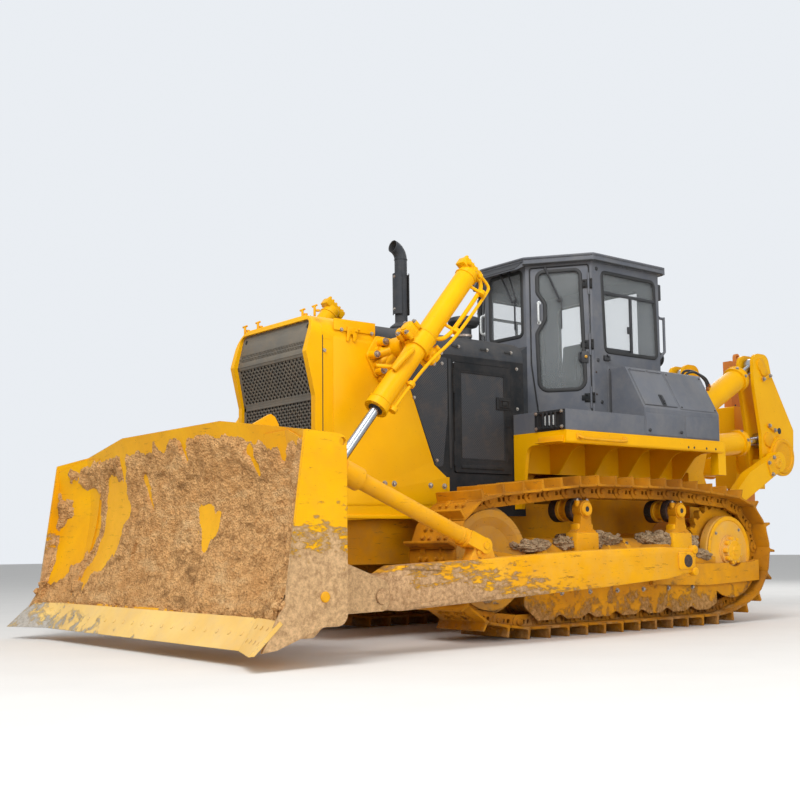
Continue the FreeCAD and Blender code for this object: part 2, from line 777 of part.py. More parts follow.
def fender_skirt():
    """The dark sheet box between deck and cab that carries the step and the lamp."""
    z0 = fender_top_z + seat_gap
    solid = plate_z(skirt_plan(0), z0, skirt_top_z)
    hollow = plate_z(skirt_plan(skirt_wall), z0 - 1, skirt_top_z - skirt_wall)
    x = fender_front_x - 8
    lamp = box(x - 60, x + 1, 900, 1220, z0 + 30, skirt_top_z - 20)
    return solid.cut(hollow).cut(lamp)


def fender_lamp():
    """The caged work lamp in the front of each skirt."""
    x = fender_front_x - 8 + seat_gap
    z0 = fender_top_z + 8
    z1 = skirt_top_z - 4
    frame = box(x, x + 14, 880, 1236, z0, z1)
    frame = frame.cut(box(x - 1, x + 15, 935, 1185, z0 + 30, z1 - 30))
    bars = [box(x + 2, x + 12, 979 + 50 * i, 991 + 50 * i, z0 + 10, z1 - 10) for i in range(4)]
    lens = box(x - 30, x + 3, 902, 1218, z0 + 32, z1 - 22)
    return union([frame, lens] + bars)


def toolbox_profile(inset):
    """The slanted box's outline in front view, drawn in by a wall's thickness."""
    floor_z = fender_top_z + seat_gap
    return [(toolbox_inner_y + inset, floor_z + inset), (toolbox_outer_y - inset, floor_z + inset),
            (toolbox_outer_y - inset, toolbox_shoulder_z - inset * 0.3, 8),
            (toolbox_top_y - inset * 0.4, toolbox_top_z - inset, 8), (toolbox_inner_y + inset, toolbox_top_z - inset)]


def toolbox():
    """The slanted box on the rear deck: battery and tool space, open where its lid closes it."""
    body = plate_x(toolbox_profile(0), toolbox_rear_x, toolbox_front_x)
    body = body.cut(plate_x(toolbox_profile(toolbox_wall), toolbox_rear_x + toolbox_wall, toolbox_front_x - toolbox_wall))
    return hinged(body.cut(lid_block(0, 60)), *lid_hinge(), False)


def lid_block(gap, depth):
    """A block through the slanted face of the box, as the lid or as its opening."""
    low, high = lid_margin + gap, slope_length() - lid_margin - gap
    points = [slope_point(s, out) for s, out in ((low, 4), (high, 4), (high, -depth), (low, -depth))]
    return plate_x(points, lid_rear_x + gap, lid_front_x - gap)


def cab_plan(inset):
    """The cab's six-sided plan, drawn in by an inset."""
    k = inset
    return [(cab_front_x - k, cab_front_half - k * 0.6), (cab_corner_x - k * 0.5, cab_half_width - k),
            (cab_rear_x + k, cab_half_width - k), (cab_rear_x + k, -cab_half_width + k),
            (cab_corner_x - k * 0.5, -cab_half_width + k), (cab_front_x - k, -cab_front_half + k * 0.6)]


def on_door_wall(points, depth0, depth1):
    """A plate on the cab's slanted door wall. Points are (along the wall from its front corner, z)."""

    def place(p):
        spot = door_wall_point(p.x, depth0)
        return FreeCAD.Vector(spot.x, spot.y, p.y)

    face = Part.Face(outline_wire(points, place))
    return face.extrude(door_wall_point(0, depth1) - door_wall_point(0, depth0))


def door_outline(gap):
    """The cab door's outline on its wall, with its bottom front corner cut off."""
    g = gap
    rear = cab_door_rear - g
    low = cab_door_low_z + g
    high = cab_door_high_z - g
    bend = cab_door_low_z + 0.363 * (cab_door_high_z - cab_door_low_z)
    return [(45 + g, high, 25), (45 + g, bend, 200), (110 + g, low, 15), (rear, low, 15), (rear, high, 25)]


def door_window(gap):
    """The door's window, with the notch beside the handle."""
    g = gap
    low = door_window_low_z
    high = door_window_high_z
    rise = high - low
    return [(115 + g, high - g, 60), (115 + g, low + 0.828 * rise, 60), (185 + g, low + 0.733 * rise, 60),
            (185 + g, low + 0.595 * rise, 60), (105 + g, low + 0.483 * rise, 60), (120 + g, low + g, 90),
            (560 - g, low + g, 90), (530 - g, high - g, 60)]


def front_window(gap):
    """The windshield's outline, drawn in by a gap."""
    half = cab_front_half - 49 - gap
    low = front_window_low_z + gap
    high = front_window_high_z - gap
    return [(-half, low, 50), (half, low, 50), (half, high, 50), (-half, high, 50)]


def side_window(gap):
    """A side window's outline in side view, drawn in by a gap."""
    g = gap
    rear = cab_rear_x
    front = cab_corner_x
    low = side_window_low_z + g
    high = side_window_high_z - g
    return [(rear + 50 + g, low, 50), (front - 170 - g, low, 50), (front - 140 - g, high, 50), (rear + 70 + g, high, 50)]


def rear_window(gap):
    """The rear window's outline, drawn in by a gap."""
    half = rear_window_half - gap
    low = rear_window_low_z + gap
    high = rear_window_high_z - gap
    return [(-half, low, 50), (half, low, 50), (half, high, 50), (-half, high, 50)]


def cab_shell():
    """The cab's walls and floor, open for the doors and windows."""
    solid = plate_z(cab_plan(0), cab_floor_z, cab_eaves_z)
    room = plate_z(cab_plan(cab_wall), cab_floor_z + cab_floor_thick, cab_eaves_z + 1)
    shell = solid.cut(room)
    doorway = on_door_wall(door_outline(0), -120, 60)
    window = plate_y(side_window(0), cab_half_width - 100, cab_half_width + 50)
    shell = shell.cut([doorway, mirrored(doorway), window, mirrored(window)])
    shell = shell.cut(plate_x(front_window(0), cab_front_x - 100, cab_front_x + 50))
    shell = shell.cut(plate_x(rear_window(0), cab_rear_x - 50, cab_rear_x + 100))
    shell = hinged(shell, *cab_door_hinge(), False)
    return mirrored(hinged(mirrored(shell), *cab_door_hinge(), False))


def cab_glass():
    """The fixed panes in front, at the sides and behind."""
    g = 0.3
    mid = cab_wall / 2
    panes = [plate_x(front_window(g), cab_front_x - mid, cab_front_x - mid + glass_thick),
             plate_x(rear_window(g), cab_rear_x + mid, cab_rear_x + mid + glass_thick)]
    side = plate_y(side_window(g), cab_half_width - mid, cab_half_width - mid + glass_thick)
    return Part.makeCompound(panes + [side, mirrored(side)])


def cab_roof():
    """The roof with its overhang and the visor over the windshield."""
    low = cab_eaves_z + seat_gap
    slab = plate_z(cab_plan(-roof_overhang), low, cab_eaves_z + roof_thick)
    visor = plate_y([(cab_front_x + 20, low), (cab_front_x + 150, cab_eaves_z - 60),
                     (cab_front_x + 155, cab_eaves_z - 48), (cab_front_x + 20, cab_eaves_z + roof_thick - 20)],
                    -cab_front_half - 20, cab_front_half + 20)
    return union([slab, visor])


def cab_door():
    """One cab door with its window opening, hinged at the rear edge."""
    leaf = on_door_wall(door_outline(door_gap), -38, 4)
    window = on_door_wall(door_window(0), -60, 30)
    return hinged(leaf.cut(window), *cab_door_hinge(), True)


def door_glass():
    """The pane of one cab door."""
    return on_door_wall(door_window(0.3), -20, -20 + glass_thick)


def seat():
    """The operator's seat: base, cushion and backrest."""
    z = cab_floor_z + cab_floor_thick + seat_gap
    seat_z = z + seat_base_height
    rear = seat_front_x - seat_depth
    base = box(rear + 40, seat_front_x - 120, 80 - seat_half, seat_half - 80, z, seat_z)
    cushion = box(rear, seat_front_x, -seat_half, seat_half, seat_z, seat_z + cushion_thick)
    back = plate_y([(rear - 20, seat_z + 70, 30), (rear + 110, seat_z + 70, 30), (rear + 60, z + back_height, 50),
                    (rear - 60, z + back_height, 50)], 10 - seat_half, seat_half - 10)
    return union([base, cushion, back])


def controls():
    """The instrument stand and the lever consoles."""
    z = cab_floor_z + cab_floor_thick + seat_gap
    front = cab_front_x - 120
    top = z + stand_height
    stand = plate_y([(front, z), (front - 180, z), (front - 180, top - 240), (front - 100, top, 30), (front, top, 30)],
                    -190, 190)
    console = box(-1000, -520, console_inner_y, console_outer_y, z, z + console_height)
    lever_y = (console_inner_y + console_outer_y) / 2
    levers = [post(x, lever_y, 12, z + console_height - 1, z + lever_height) for x in lever_xs]
    return Part.makeCompound([stand] + [union([console] + levers), mirrored(console)])


def handrail():
    """The bent rail at the cab's rear corner."""
    x, y = cab_rear_x, cab_half_width - 30
    out = x - rail_reach
    r = rail_radius
    rail = union([bar((x + 1, y, rail_top_z), (out, y, rail_top_z), r),
                  bar((out, y, rail_top_z + r), (out, y, rail_bend_z), r),
                  bar((out, y, rail_bend_z), (x + 1, y, rail_foot_z), r)])
    return rail.cut(box(x - seat_gap, x + 100, y - 50, y + 50, rail_foot_z - 100, rail_top_z + 60))


def rear_lamp():
    """The round work lamp under the rail."""
    x, y = cab_rear_x - seat_gap, cab_half_width - 140
    z = rear_lamp_z
    return union([bar((x, y, z), (x - 60, y, z), 20), bar((x - 60, y, z), (x - 130, y, z), rear_lamp_radius)])


def bit_share(y):
    """How far a half-width lies out along the end bit, from its joint to the end plate."""
    return max(0, (y - edge_half) / (blade_half - edge_half))


def edge_front(y):
    """The lowest and the highest point of the edge's front face at a half-width."""
    a = math.radians(edge_angle)
    share = bit_share(y)
    tip = (blade_tip_x + share * bit_reach, blade_tip_z)
    top_x = blade_tip_x - edge_length * math.cos(a) + share * bit_top_reach
    return tip, (top_x, blade_tip_z + edge_length * math.sin(a))


def edge_lean(y):
    """The direction up the edge's front face at a half-width."""
    (x0, z0), (x1, z1) = edge_front(y)
    size = math.hypot(x1 - x0, z1 - z0)
    return (x1 - x0) / size, (z1 - z0) / size


def blade_foot(y):
    """The lowest front point of the mouldboard, behind the top of the cutting edge."""
    top_x, top_z = edge_front(y)[1]
    ux, uz = edge_lean(y)
    return top_x - uz * edge_thick, top_z + ux * edge_thick


def blade_curve(section, back):
    """The mouldboard's hollow arc at a section: foot, middle and top, moved back by a thickness."""
    y, depth, top_z = section
    top_x = blade_tip_x - depth
    foot_x, foot_z = blade_foot(y)
    chord = math.hypot(top_x - foot_x, top_z - foot_z)
    hollow = blade_hollow * chord
    nx, nz = (foot_z - top_z) / chord, (top_x - foot_x) / chord
    mid_x = (foot_x + top_x) / 2 + nx * hollow
    mid_z = (foot_z + top_z) / 2 + nz * hollow
    return [FreeCAD.Vector(x - back, y, z) for x, z in ((foot_x, foot_z), (mid_x, mid_z), (top_x, top_z))]


def blade_wire(section):
    """The closed outline of the mouldboard plate at one section, with its lip behind the edge."""
    foot, middle, top = blade_curve(section, 0)
    foot_b, middle_b, top_b = blade_curve(section, blade_plate)
    lip = blade_lip(section, 0)
    lip_b = blade_lip(section, blade_plate)
    return Part.Wire([Part.makeLine(lip, foot), Part.Arc(foot, middle, top).toShape(), Part.makeLine(top, top_b),
                      Part.Arc(top_b, middle_b, foot_b).toShape(), Part.makeLine(foot_b, lip_b),
                      Part.makeLine(lip_b, lip)])


def liner_wire(section):
    """The closed outline of a liner plate on the mouldboard's face at one section."""
    foot, middle, top = blade_curve(section, 0)
    foot_f, middle_f, top_f = blade_curve(section, -liner_thick)
    return Part.Wire([Part.makeLine(foot, foot_f), Part.Arc(foot_f, middle_f, top_f).toShape(),
                      Part.makeLine(top_f, top), Part.Arc(top, middle, foot).toShape()])


def corner_liner():
    """The doubled plate on one wing, with its slanted inner and upper edges."""
    middle, joint, outer = blade_sections[1:]
    plates = [Part.makeLoft([liner_wire(a), liner_wire(b)], True, True) for a, b in ((middle, joint), (joint, outer))]
    foot_y, foot_z = liner_foot
    outline = [(foot_y, foot_z), *liner_top, (blade_half, foot_z)]
    return union(plates).common(plate_x(outline, blade_back_x, blade_tip_x))


def end_plate_outline():
    """One end plate in side view, from its rear lower corner round to the top."""
    tip = blade_tip_x
    top = blade_sections[-1][2]
    front = tip - blade_sections[-1][1]
    return [(tip - 575, 256, 80), (tip - 385, 256, 60), (tip - 30, 130), (tip + 78, 118), (tip - 45, 331),
            (tip - 97, 403), (front, top, 8), (tip - 575, top - 17, 60)]


def blade_back():
    """The box sections and ribs behind half of the mouldboard, before its face is cleared."""
    rear = blade_back_x
    low = [(rear + 570, 190), (rear + 271, 190, 20), (rear + 41, 380, 30), (rear, 760, 30), (rear + 150, 860),
           (rear + 430, 700)]
    bend = edge_half - 300
    wing = [outline_wire(low, lambda p: FreeCAD.Vector(p.x, bend, p.y)),
            outline_wire(low, lambda p: FreeCAD.Vector(p.x + bit_top_reach, blade_half, p.y))]
    parts = [plate_y(low, 0, bend), Part.makeLoft(wing, True, True)]
    beam = [(-190, -250), (-230, -210), (-230, -120), (-150, -60), (80, -60), (80, -250)]
    at_brace = box(rear, blade_tip_x, brace_y - 100, blade_half, brace_front_z - 200, brace_front_z + 200)
    for first, second in zip(blade_sections, blade_sections[1:3]):
        wires = []
        for y, depth, top_z in (first, second):
            wires.append(outline_wire(beam, lambda p: FreeCAD.Vector(blade_tip_x - depth + p.x, y, top_z + p.y)))
        parts.append(Part.makeLoft(wires, True, True).cut(at_brace))
    for y in blade_rib_ys:
        parts.append(plate_y([(rear + 430, 600), (rear + 21, 740), (rear, 900), (rear + 60, 1400),
                              (rear + 170, 1540), (rear + 430, 1540)], y - 12, y + 12))
    return parts


def moldboard():
    """The curved plate, its end plates and the boxes and ribs welded to its back."""
    lengths = []
    spaces = []
    for first, second in zip(blade_sections, blade_sections[1:]):
        lengths.append(Part.makeLoft([blade_wire(first), blade_wire(second)], True, True))
        spaces.append(Part.makeLoft([space_wire(first), space_wire(second)], True, True))
    ends = plate_y(end_plate_outline(), blade_half, blade_half + end_plate)
    ends = ends.cut(disc(blade_tip_x - 539, blade_sections[-1][2] - 65, 26, blade_half - 1, blade_half + end_plate + 1))
    rear = blade_back_x
    front = rear + 400
    parts = blade_back()
    for y in (lift_y - ear_gap - ear_thick, lift_y + ear_gap):
        ear = plate_y([(rear + 11, 740), (lift_eye_x - 70, lift_eye_z - 60, 60), (lift_eye_x - 60, lift_eye_z + 70, 60),
                       (rear, 1290), (front, 1290), (front, 740)], y, y + ear_thick)
        parts.append(ear)
        out = -15 if y < lift_y else 15
        parts.append(disc(lift_eye_x, lift_eye_z, 55, min(y, y + out), max(y, y + out) + ear_thick * (out > 0)))
    for y in (arm_inner_y - ear_thick - seat_gap, arm_outer_y + seat_gap):
        ear = plate_y([(front, 300), (arm_pin_x - 70, arm_pin_z - 100, 70), (arm_pin_x - 60, arm_pin_z + 100, 60),
                       (rear + 190, 760), (front, 760)], y, y + ear_thick)
        parts.append(ear.cut(disc(arm_pin_x, arm_pin_z, arm_pin_radius + pin_gap, y - 1, y + ear_thick + 1)))
    for y in (brace_y - brace_eye_half - ear_thick - seat_gap, brace_y + brace_eye_half + seat_gap):
        ear = plate_y([(brace_front_x - 60, brace_front_z - 60, 40), (brace_front_x - 60, brace_front_z + 60, 40),
                       (front, brace_front_z + 100), (front, brace_front_z - 140)], y, y + ear_thick)
        parts.append(ear.cut(disc(brace_front_x, brace_front_z, brace_pin_radius + pin_gap, y - 1, y + ear_thick + 1)))
    tip = blade_tip_x
    parts.append(plate_y([(tip - 349, 1550), (tip - 349, 1605), (tip - 449, 1656), (tip - 586, 1733, 15),
                          (tip - 624, 1713, 10), (tip - 659, 1653, 20), (tip - 609, 1450, 40), (tip - 449, 1400)],
                         hoist_lug_y, hoist_lug_y + ear_thick))
    welded = union(parts)
    for space in spaces:
        welded = welded.cut(space)
    half = union([welded, ends, corner_liner()] + lengths).cut(end_bit())
    return union([half, mirrored(half)])


def edge_section(y):
    """The edge's slanted plate in side view at a half-width."""
    tip, top = edge_front(abs(y))
    foot = blade_foot(abs(y))
    back = edge_thick / edge_lean(abs(y))[1]
    return outline_wire([tip, top, foot, (tip[0] - back, tip[1])], lambda p: FreeCAD.Vector(p.x, y, p.y))


def cutting_edge():
    """The straight bolted edge along the middle of the blade."""
    face = Part.Face(edge_section(-edge_half))
    return face.extrude(FreeCAD.Vector(0, 2 * edge_half, 0))


def end_bit():
    """The cast corner of the edge, which sweeps forward to its tip."""
    y0 = edge_half + seat_gap
    y1 = blade_half + end_plate + 5
    return Part.makeLoft([edge_section(y0), edge_section(y1)], True, True)


def push_arm():
    """One push arm outside the track, with its trunnion cap, front eye and pin and the brace's lug."""
    outline = [(trunnion_x - 150, trunnion_z - 120, 90), (-269, 462), (608, 411), (arm_pin_x - 183, 310, 60),
               (arm_pin_x + 80, 340, 60), (arm_pin_x + 80, 500, 60), (arm_pin_x - 188, 630, 60), (596, 720), (-215, 739),
               (trunnion_x - 150, trunnion_z + 125, 90)]
    beam = plate_y(outline, arm_inner_y, arm_outer_y)
    cap = disc(trunnion_x, trunnion_z, 165, arm_inner_y - 20, arm_outer_y)
    lug = plate_y([(brace_rear_x - 130, 640), (brace_rear_x - 60, brace_rear_z + 60, 50),
                   (brace_rear_x + 60, brace_rear_z + 60, 50), (brace_rear_x + 150, 640)],
                  brace_y - lug_half, brace_y + lug_half)
    lug = lug.cut(disc(brace_rear_x, brace_rear_z, brace_pin_radius + pin_gap, brace_y - 100, brace_y + 100))
    pin = disc(arm_pin_x, arm_pin_z, arm_pin_radius, arm_inner_y - ear_thick - 10, arm_outer_y + ear_thick + 10)
    arm = union([beam, cap, lug, pin])
    return arm.cut(disc(trunnion_x, trunnion_z, trunnion_radius + pin_gap, arm_inner_y - 30, arm_outer_y - 55))


def lift_axis():
    """The lift cylinder's pivot and its eye at the blade."""
    a = (lift_pivot_x, lift_y, lift_pivot_z)
    b = (lift_eye_x, lift_y, lift_eye_z)
    return a, b


def lift_barrel():
    """The lift cylinder's tube in its yoke, with the valve head and its two pipes."""
    a, b = lift_axis()
    top = along(a, b, -lift_above)
    low = along(a, b, lift_below)
    tube_part = bar(top, low, lift_barrel_radius)
    collar = bar(along(a, b, -75), along(a, b, 75), lift_barrel_radius + 14)
    gland = bar(along(a, b, lift_below - 70), low, lift_barrel_radius + 10)
    head = bar(along(a, b, -lift_above - 45), top, 62)
    direction = FreeCAD.Vector(b[0] - a[0], 0, b[2] - a[2]).normalize()
    across = FreeCAD.Vector(-direction.z, 0, direction.x)
    centre = FreeCAD.Vector(*a)
    arms = []
    for side in (-1, 1):
        cap = centre + across * (side * 130)
        end = centre + across * (side * 62)
        arms.append(bar((end.x, end.y, end.z), (cap.x, cap.y, cap.z), 58))
        arms.append(bar((cap.x, cap.y - 130, cap.z), (cap.x, cap.y + 10, cap.z), 52))
    web_a = centre + across * 130
    web_b = centre - across * 130
    web = bar((web_b.x, web_b.y - 118, web_b.z), (web_a.x, web_a.y - 118, web_a.z), 34)
    pivot = disc(a[0], a[2], 60, lift_y - 205, lift_y - 95)
    hollow = bar(along(a, b, -lift_above + lift_cap), along(a, b, lift_below - lift_gland), lift_barrel_radius - 18)
    bore = bar(along(a, b, 0), along(a, b, lift_below + 10), lift_rod_radius + pin_gap)
    body = union([tube_part, collar, gland, head, web, pivot] + arms)
    body = body.cut(hollow).cut(bore)
    return body


def lift_rod():
    """The chromed rod with its piston and its eye and pin at the blade."""
    a, b = lift_axis()
    rod = bar(along(a, b, lift_rod_inner), along(b, a, 40), lift_rod_radius)
    piston = bar(along(a, b, lift_rod_inner), along(a, b, lift_rod_inner + 60), lift_barrel_radius - 18 - seat_gap)
    eye = disc(b[0], b[2], 60, lift_y - 55, lift_y + 55)
    pin = disc(b[0], b[2], 34, lift_y - 68, lift_y + 68)
    return union([rod, piston, eye, pin])


def lift_bracket():
    """The cast bracket on the hood side that carries the yoke."""
    y0 = hood_half_width + seat_gap
    pads = []
    for x, z in ((2045, 2385), (2060, 2270), (2000, 2160), (1900, 2250)):
        pads.append(bar((x, y0, z), (x, y0 + 60, z), 38))
        pads.append(bar((x, y0 + 45, z), (lift_pivot_x, y0 + 120, lift_pivot_z), 26))
    boss = disc(lift_pivot_x, lift_pivot_z, 92, y0 + 85, lift_y - 160)
    bracket = union([boss] + pads)
    return bracket.cut(disc(lift_pivot_x, lift_pivot_z, 60 + pin_gap, lift_y - 206, lift_y - 100))


def ripper_bracket():
    """The fixed bracket bolted to the steering case, with ears for the arms and cylinders."""
    rear = case_rear_x - seat_gap
    top = case_top_z + seat_gap
    outline = [(rear, 760), (-2300, 860, 40), (-2470, 920, 60), (-2480, 1090, 60), (-2290, 1500),
               (-2360, 1700, 60), (-2370, 1875, 90), (-2290, 1960), (-2285, 2120, 60), (-2190, 2180, 60), (-2060, 2140, 60),
               (-1960, 1800), (-1960, top), (rear, top)]
    plates = [plate_y(outline, y0, y0 + 45) for y0 in (ripper_y - 120, ripper_y + 75)]
    back = box(rear - 60, rear, -ripper_y - 120, ripper_y + 120, 780, case_top_z)
    half = union(plates)
    parts = [half, mirrored(half), back]
    for side in (-1, 1):
        y = side * ripper_y
        for point in (upper_base, lower_base):
            parts.append(disc(*point, ripper_pin_radius, y - 135, y + 135))
        y0, y1 = sorted((side * (ripper_y + 75), side * arm_beam_y1))
        parts.append(disc(*arm_pivot, ripper_pin_radius, y0, y1))
    whole = union(parts)
    clear = disc(sprocket_x, sprocket_z, final_drive_radius + seat_gap, case_half_width, track_y)
    return whole.cut([clear, mirrored(clear)])


def ripper_cylinder(base, tip, foot, inner, gland):
    """A ripper cylinder's barrel and rod in side view, at the left side."""
    a = (base[0], ripper_y, base[1])
    b = (tip[0], ripper_y, tip[1])
    e = ripper_eye_half
    r = ripper_barrel_radius
    eye = disc(a[0], a[2], 95, ripper_y - e, ripper_y + e)
    neck = bar(along(a, b, 40), along(a, b, foot + 5), 58)
    body = bar(along(a, b, foot), along(a, b, gland), r)
    collar = bar(along(a, b, gland - 80), along(a, b, gland), r + 16)
    barrel = union([eye, neck, body, collar])
    barrel = barrel.cut(bar(along(a, b, foot + 25), along(a, b, gland - 50), r - 20))
    barrel = barrel.cut(bar(along(a, b, foot + 25), along(a, b, gland + 10), ripper_rod_radius + pin_gap))
    barrel = barrel.cut(disc(a[0], a[2], ripper_pin_radius + pin_gap, ripper_y - 100, ripper_y + 100))
    rod = bar(along(a, b, inner), along(b, a, 40), ripper_rod_radius)
    piston = bar(along(a, b, inner), along(a, b, inner + 60), r - 20 - seat_gap)
    rod_eye = disc(b[0], b[2], 85, ripper_y - e + 8, ripper_y + e - 8)
    rod_pin = disc(b[0], b[2], ripper_pin_radius, ripper_y - e - 4, ripper_y + e + 4)
    return barrel, union([rod, piston, rod_eye, rod_pin])


def ripper_arm():
    """The lower arm: two box beams outside the carrier, joined by a cross tube."""
    y0, y1 = arm_beam_y0, arm_beam_y1
    ax, az = arm_pivot
    bx, bz = arm_tip
    outline = [(ax + 105, az - 60, 60), (ax + 105, az + 90, 60), (ax - 60, az + 110), (-2930, 1530, 40),
               (bx, bz + 112, 60), (bx - 112, bz, 60), (bx, bz - 112, 60), (-2970, 1290, 60)]
    side = union([plate_y(outline, y0, y1), disc(bx, bz, 112, y0, y1 + 10)])
    cross = disc(ax - 420, az + 225, 90, -y0 - 20, y0 + 20)
    arm = union([side, mirrored(side), cross])
    return arm.cut([disc(*point, ripper_pin_radius + pin_gap, -y1 - 20, y1 + 20) for point in (arm_pivot, arm_tip)])


def ripper_pins():
    """The two lower pins that join the arm and the carrier."""
    return both_sides(disc(*arm_tip, ripper_pin_radius, plate_inner_y - 10, arm_beam_y1 + 25))


def ripper_carrier():
    """The shank carrier: four side plates, the cross beam and the shank's pocket."""
    bx, bz = arm_tip
    ux, uz = upper_tip
    lx, lz = lower_tip
    outline = [(bx + 90, bz - 60, 60), (lx + 130, lz + 60), (ux + 140, uz - 240), (ux + 145, uz + 125, 110),
               (ux - 140, uz + 125, 110), (ux - 197, uz - 96), (-3833, 2336), (-4018, 2053, 40), (-3999, 1811, 60),
               (-3820, 1530, 90), (bx - 60, bz - 115, 60)]
    parts = [plate_y(outline, y0, y0 + plate_thick) for y0 in (plate_outer_y, plate_inner_y)]
    parts.append(plate_y([(-3560, 1560, 30), (-3560, 2060, 30), (-3980, 2060, 60), (-3980, 1760, 60), (-3860, 1560, 60)],
                         0, plate_inner_y + 1))
    parts.append(plate_y([(-3760, 1600, 30), (-3760, 2000, 30), (-3960, 2000, 60), (-3960, 1780, 60), (-3840, 1600, 60)],
                         plate_inner_y + plate_thick - 1, plate_outer_y + 1))
    face = plate_outer_y + plate_thick
    parts.append(disc(*boss_centre, boss_radius, face - 1, face + boss_thick))
    rear = shank_front_x - shank_depth - strap_thick
    parts.append(plate_y([(shank_front_x + 100, 1400), (shank_front_x + 100, 2350, 30), (rear, 2350, 30), (rear, 1400)],
                         0, shank_half + 90))
    for point in (upper_tip, lower_tip):
        parts.append(disc(*point, ripper_pin_radius + 20, face - 1, face + 14))
        parts.append(disc(*point, ripper_pin_radius + 20, plate_inner_y - 14, plate_inner_y + 1))
    half = union(parts)
    carrier = union([half, mirrored(half)])
    g = seat_gap
    slot = box(shank_front_x - shank_depth - g, shank_front_x + g, -shank_half - g, shank_half + g, 1000, 3000)
    pins = [disc(*arm_tip, ripper_pin_radius + pin_gap, side * ripper_y - 200, side * ripper_y + 200) for side in (-1, 1)]
    return carrier.cut([slot] + pins)


def ripper_shank():
    """The single shank with its pin holes, lifting eye and replaceable tip."""
    x = shank_front_x
    d = shank_depth
    outline = [(x, 1500), (x, shank_top_z), (x - d, shank_top_z), (x - d, 1350), (x - d + 10, 1100, 300), (x - 170, 700, 60),
               (x + 120, shank_tip_z), (x + 140, shank_tip_z + 50), (x - 20, 900, 200)]
    shank = plate_y(outline, -shank_half, shank_half)
    for z in (2250, 2520, 2760):
        shank = shank.cut(disc(x - 190, z, 42, -100, 100))
    eye = disc(x - 190, shank_top_z + 60, 48, -18, 18).fuse(box(x - 238, x - 142, -18, 18, shank_top_z - 5, shank_top_z + 60))
    eye = eye.cut(disc(x - 190, shank_top_z + 62, 24, -30, 30))
    return union([shank, eye])


def roller_guard(y0, whole):
    """One side plate of the roller frame, wavy below. The outer one goes on under the hub."""
    front_x = roller_front_x + 230
    rear_x = sprocket_x + 250
    points = [(rear_x, frame_top_z), (rear_x, guard_low_z + 60, 30)]
    for i in range(roller_count):
        x = roller_front_x - (roller_count - 1 - i) * roller_pitch
        points.append((x - 90, guard_low_z, 20))
        points.append((x + 90, guard_low_z, 20))
        if i < roller_count - 1:
            points.append((x + roller_pitch / 2, guard_low_z + guard_wave, 60))
    points += [(front_x, guard_low_z + 110, 50), (front_x, frame_top_z)]
    plate = plate_y(points, y0, y0 + guard_thick)
    if not whole:
        return plate
    tail = disc(sprocket_x, sprocket_z, pitch_radius - 25, y0, y0 + guard_thick)
    tail = tail.common(box(sprocket_x - 350, rear_x + 1, y0, y0 + guard_thick, 0, 440))
    return plate.fuse(tail)


def skirt_plan(inset):
    """The skirt's plan round the hood, the cowl and the cab, drawn in by an inset."""
    k = inset
    run_x = cab_corner_x - cab_front_x
    run_y = cab_half_width - cab_front_half
    size = math.hypot(run_x, run_y)
    gap = 6 + k
    slope_x = cab_front_x + gap * run_y / size
    slope_y = cab_front_half - gap * run_x / size
    low_y = cowl_half_width + gap
    low_x = slope_x + (low_y - slope_y) * run_x / run_y
    corner_x = slope_x + (cab_half_width + gap - slope_y) * run_x / run_y
    y1 = fender_half_width - 12 - k
    return [(fender_front_x - 8 - k, hood_half_width + gap), (hood_rear_x - gap, hood_half_width + gap),
            (hood_rear_x - gap, low_y), (low_x, low_y), (corner_x, cab_half_width + gap),
            (toolbox_front_x + 2 + k, cab_half_width + gap), (toolbox_front_x + 2 + k, y1),
            (fender_front_x - 8 - k, y1)]


def barrels(start, direction, spots, moving):
    """Hinge barrels on a line: a moving one at each spot, between two fixed ones."""
    half = hinge_length / 2
    spans = [(-half, half)] if moving else [(-3 * half, -half - seat_gap), (half + seat_gap, 3 * half)]
    a = FreeCAD.Vector(*start)
    d = FreeCAD.Vector(*direction)
    return [(a + d * (spot + low), a + d * (spot + high)) for spot in spots for low, high in spans]


def hinged(shape, start, direction, spots, moving):
    """A wall or leaf with its own hinge barrels added and the other's cleared."""
    own = [bar(a, b, hinge_radius) for a, b in barrels(start, direction, spots, moving)]
    reach = FreeCAD.Vector(*direction) * seat_gap
    others = [bar(a - reach, b + reach, hinge_radius + seat_gap) for a, b in barrels(start, direction, spots, not moving)]
    shape = shape.cut(others)
    return shape.fuse(own)


def engine_door_hinge():
    """The start and direction of the engine door's hinge line and its barrels' places."""
    start = (door_front_x - door_gap / 2, hood_half_width + hinge_radius - hinge_sink, door_low_z)
    high = door_high_z - door_low_z
    return start, (0, 0, 1), (170, high - 170)


def cab_door_hinge():
    """The start and direction of the cab door's hinge line and its barrels' places."""
    start = door_wall_point(cab_door_rear - door_gap / 2, hinge_radius - hinge_sink)
    high = cab_door_high_z - cab_door_low_z
    return (start.x, start.y, cab_door_low_z), (0, 0, 1), (190, 0.475 * high, high - 185)


def lid_hinge():
    """The start and direction of the toolbox lid's hinge line and its barrels' places."""
    y, z = slope_point(slope_length() - lid_margin - door_gap / 2, hinge_radius - hinge_sink)
    return (lid_rear_x, y, z), (1, 0, 0), (120, lid_front_x - lid_rear_x - 120)


def door_wall_point(s, out):
    """A point on the cab's slanted door wall, s along it from its front corner."""
    run_x = cab_corner_x - cab_front_x
    run_y = cab_half_width - cab_front_half
    size = math.hypot(run_x, run_y)
    ux, uy = run_x / size, run_y / size
    return FreeCAD.Vector(cab_front_x + ux * s + uy * out, cab_front_half + uy * s - ux * out, 0)


def slope_length():
    """The length of the toolbox's slanted face in front view."""
    return math.hypot(toolbox_top_y - toolbox_outer_y, toolbox_top_z - toolbox_shoulder_z)


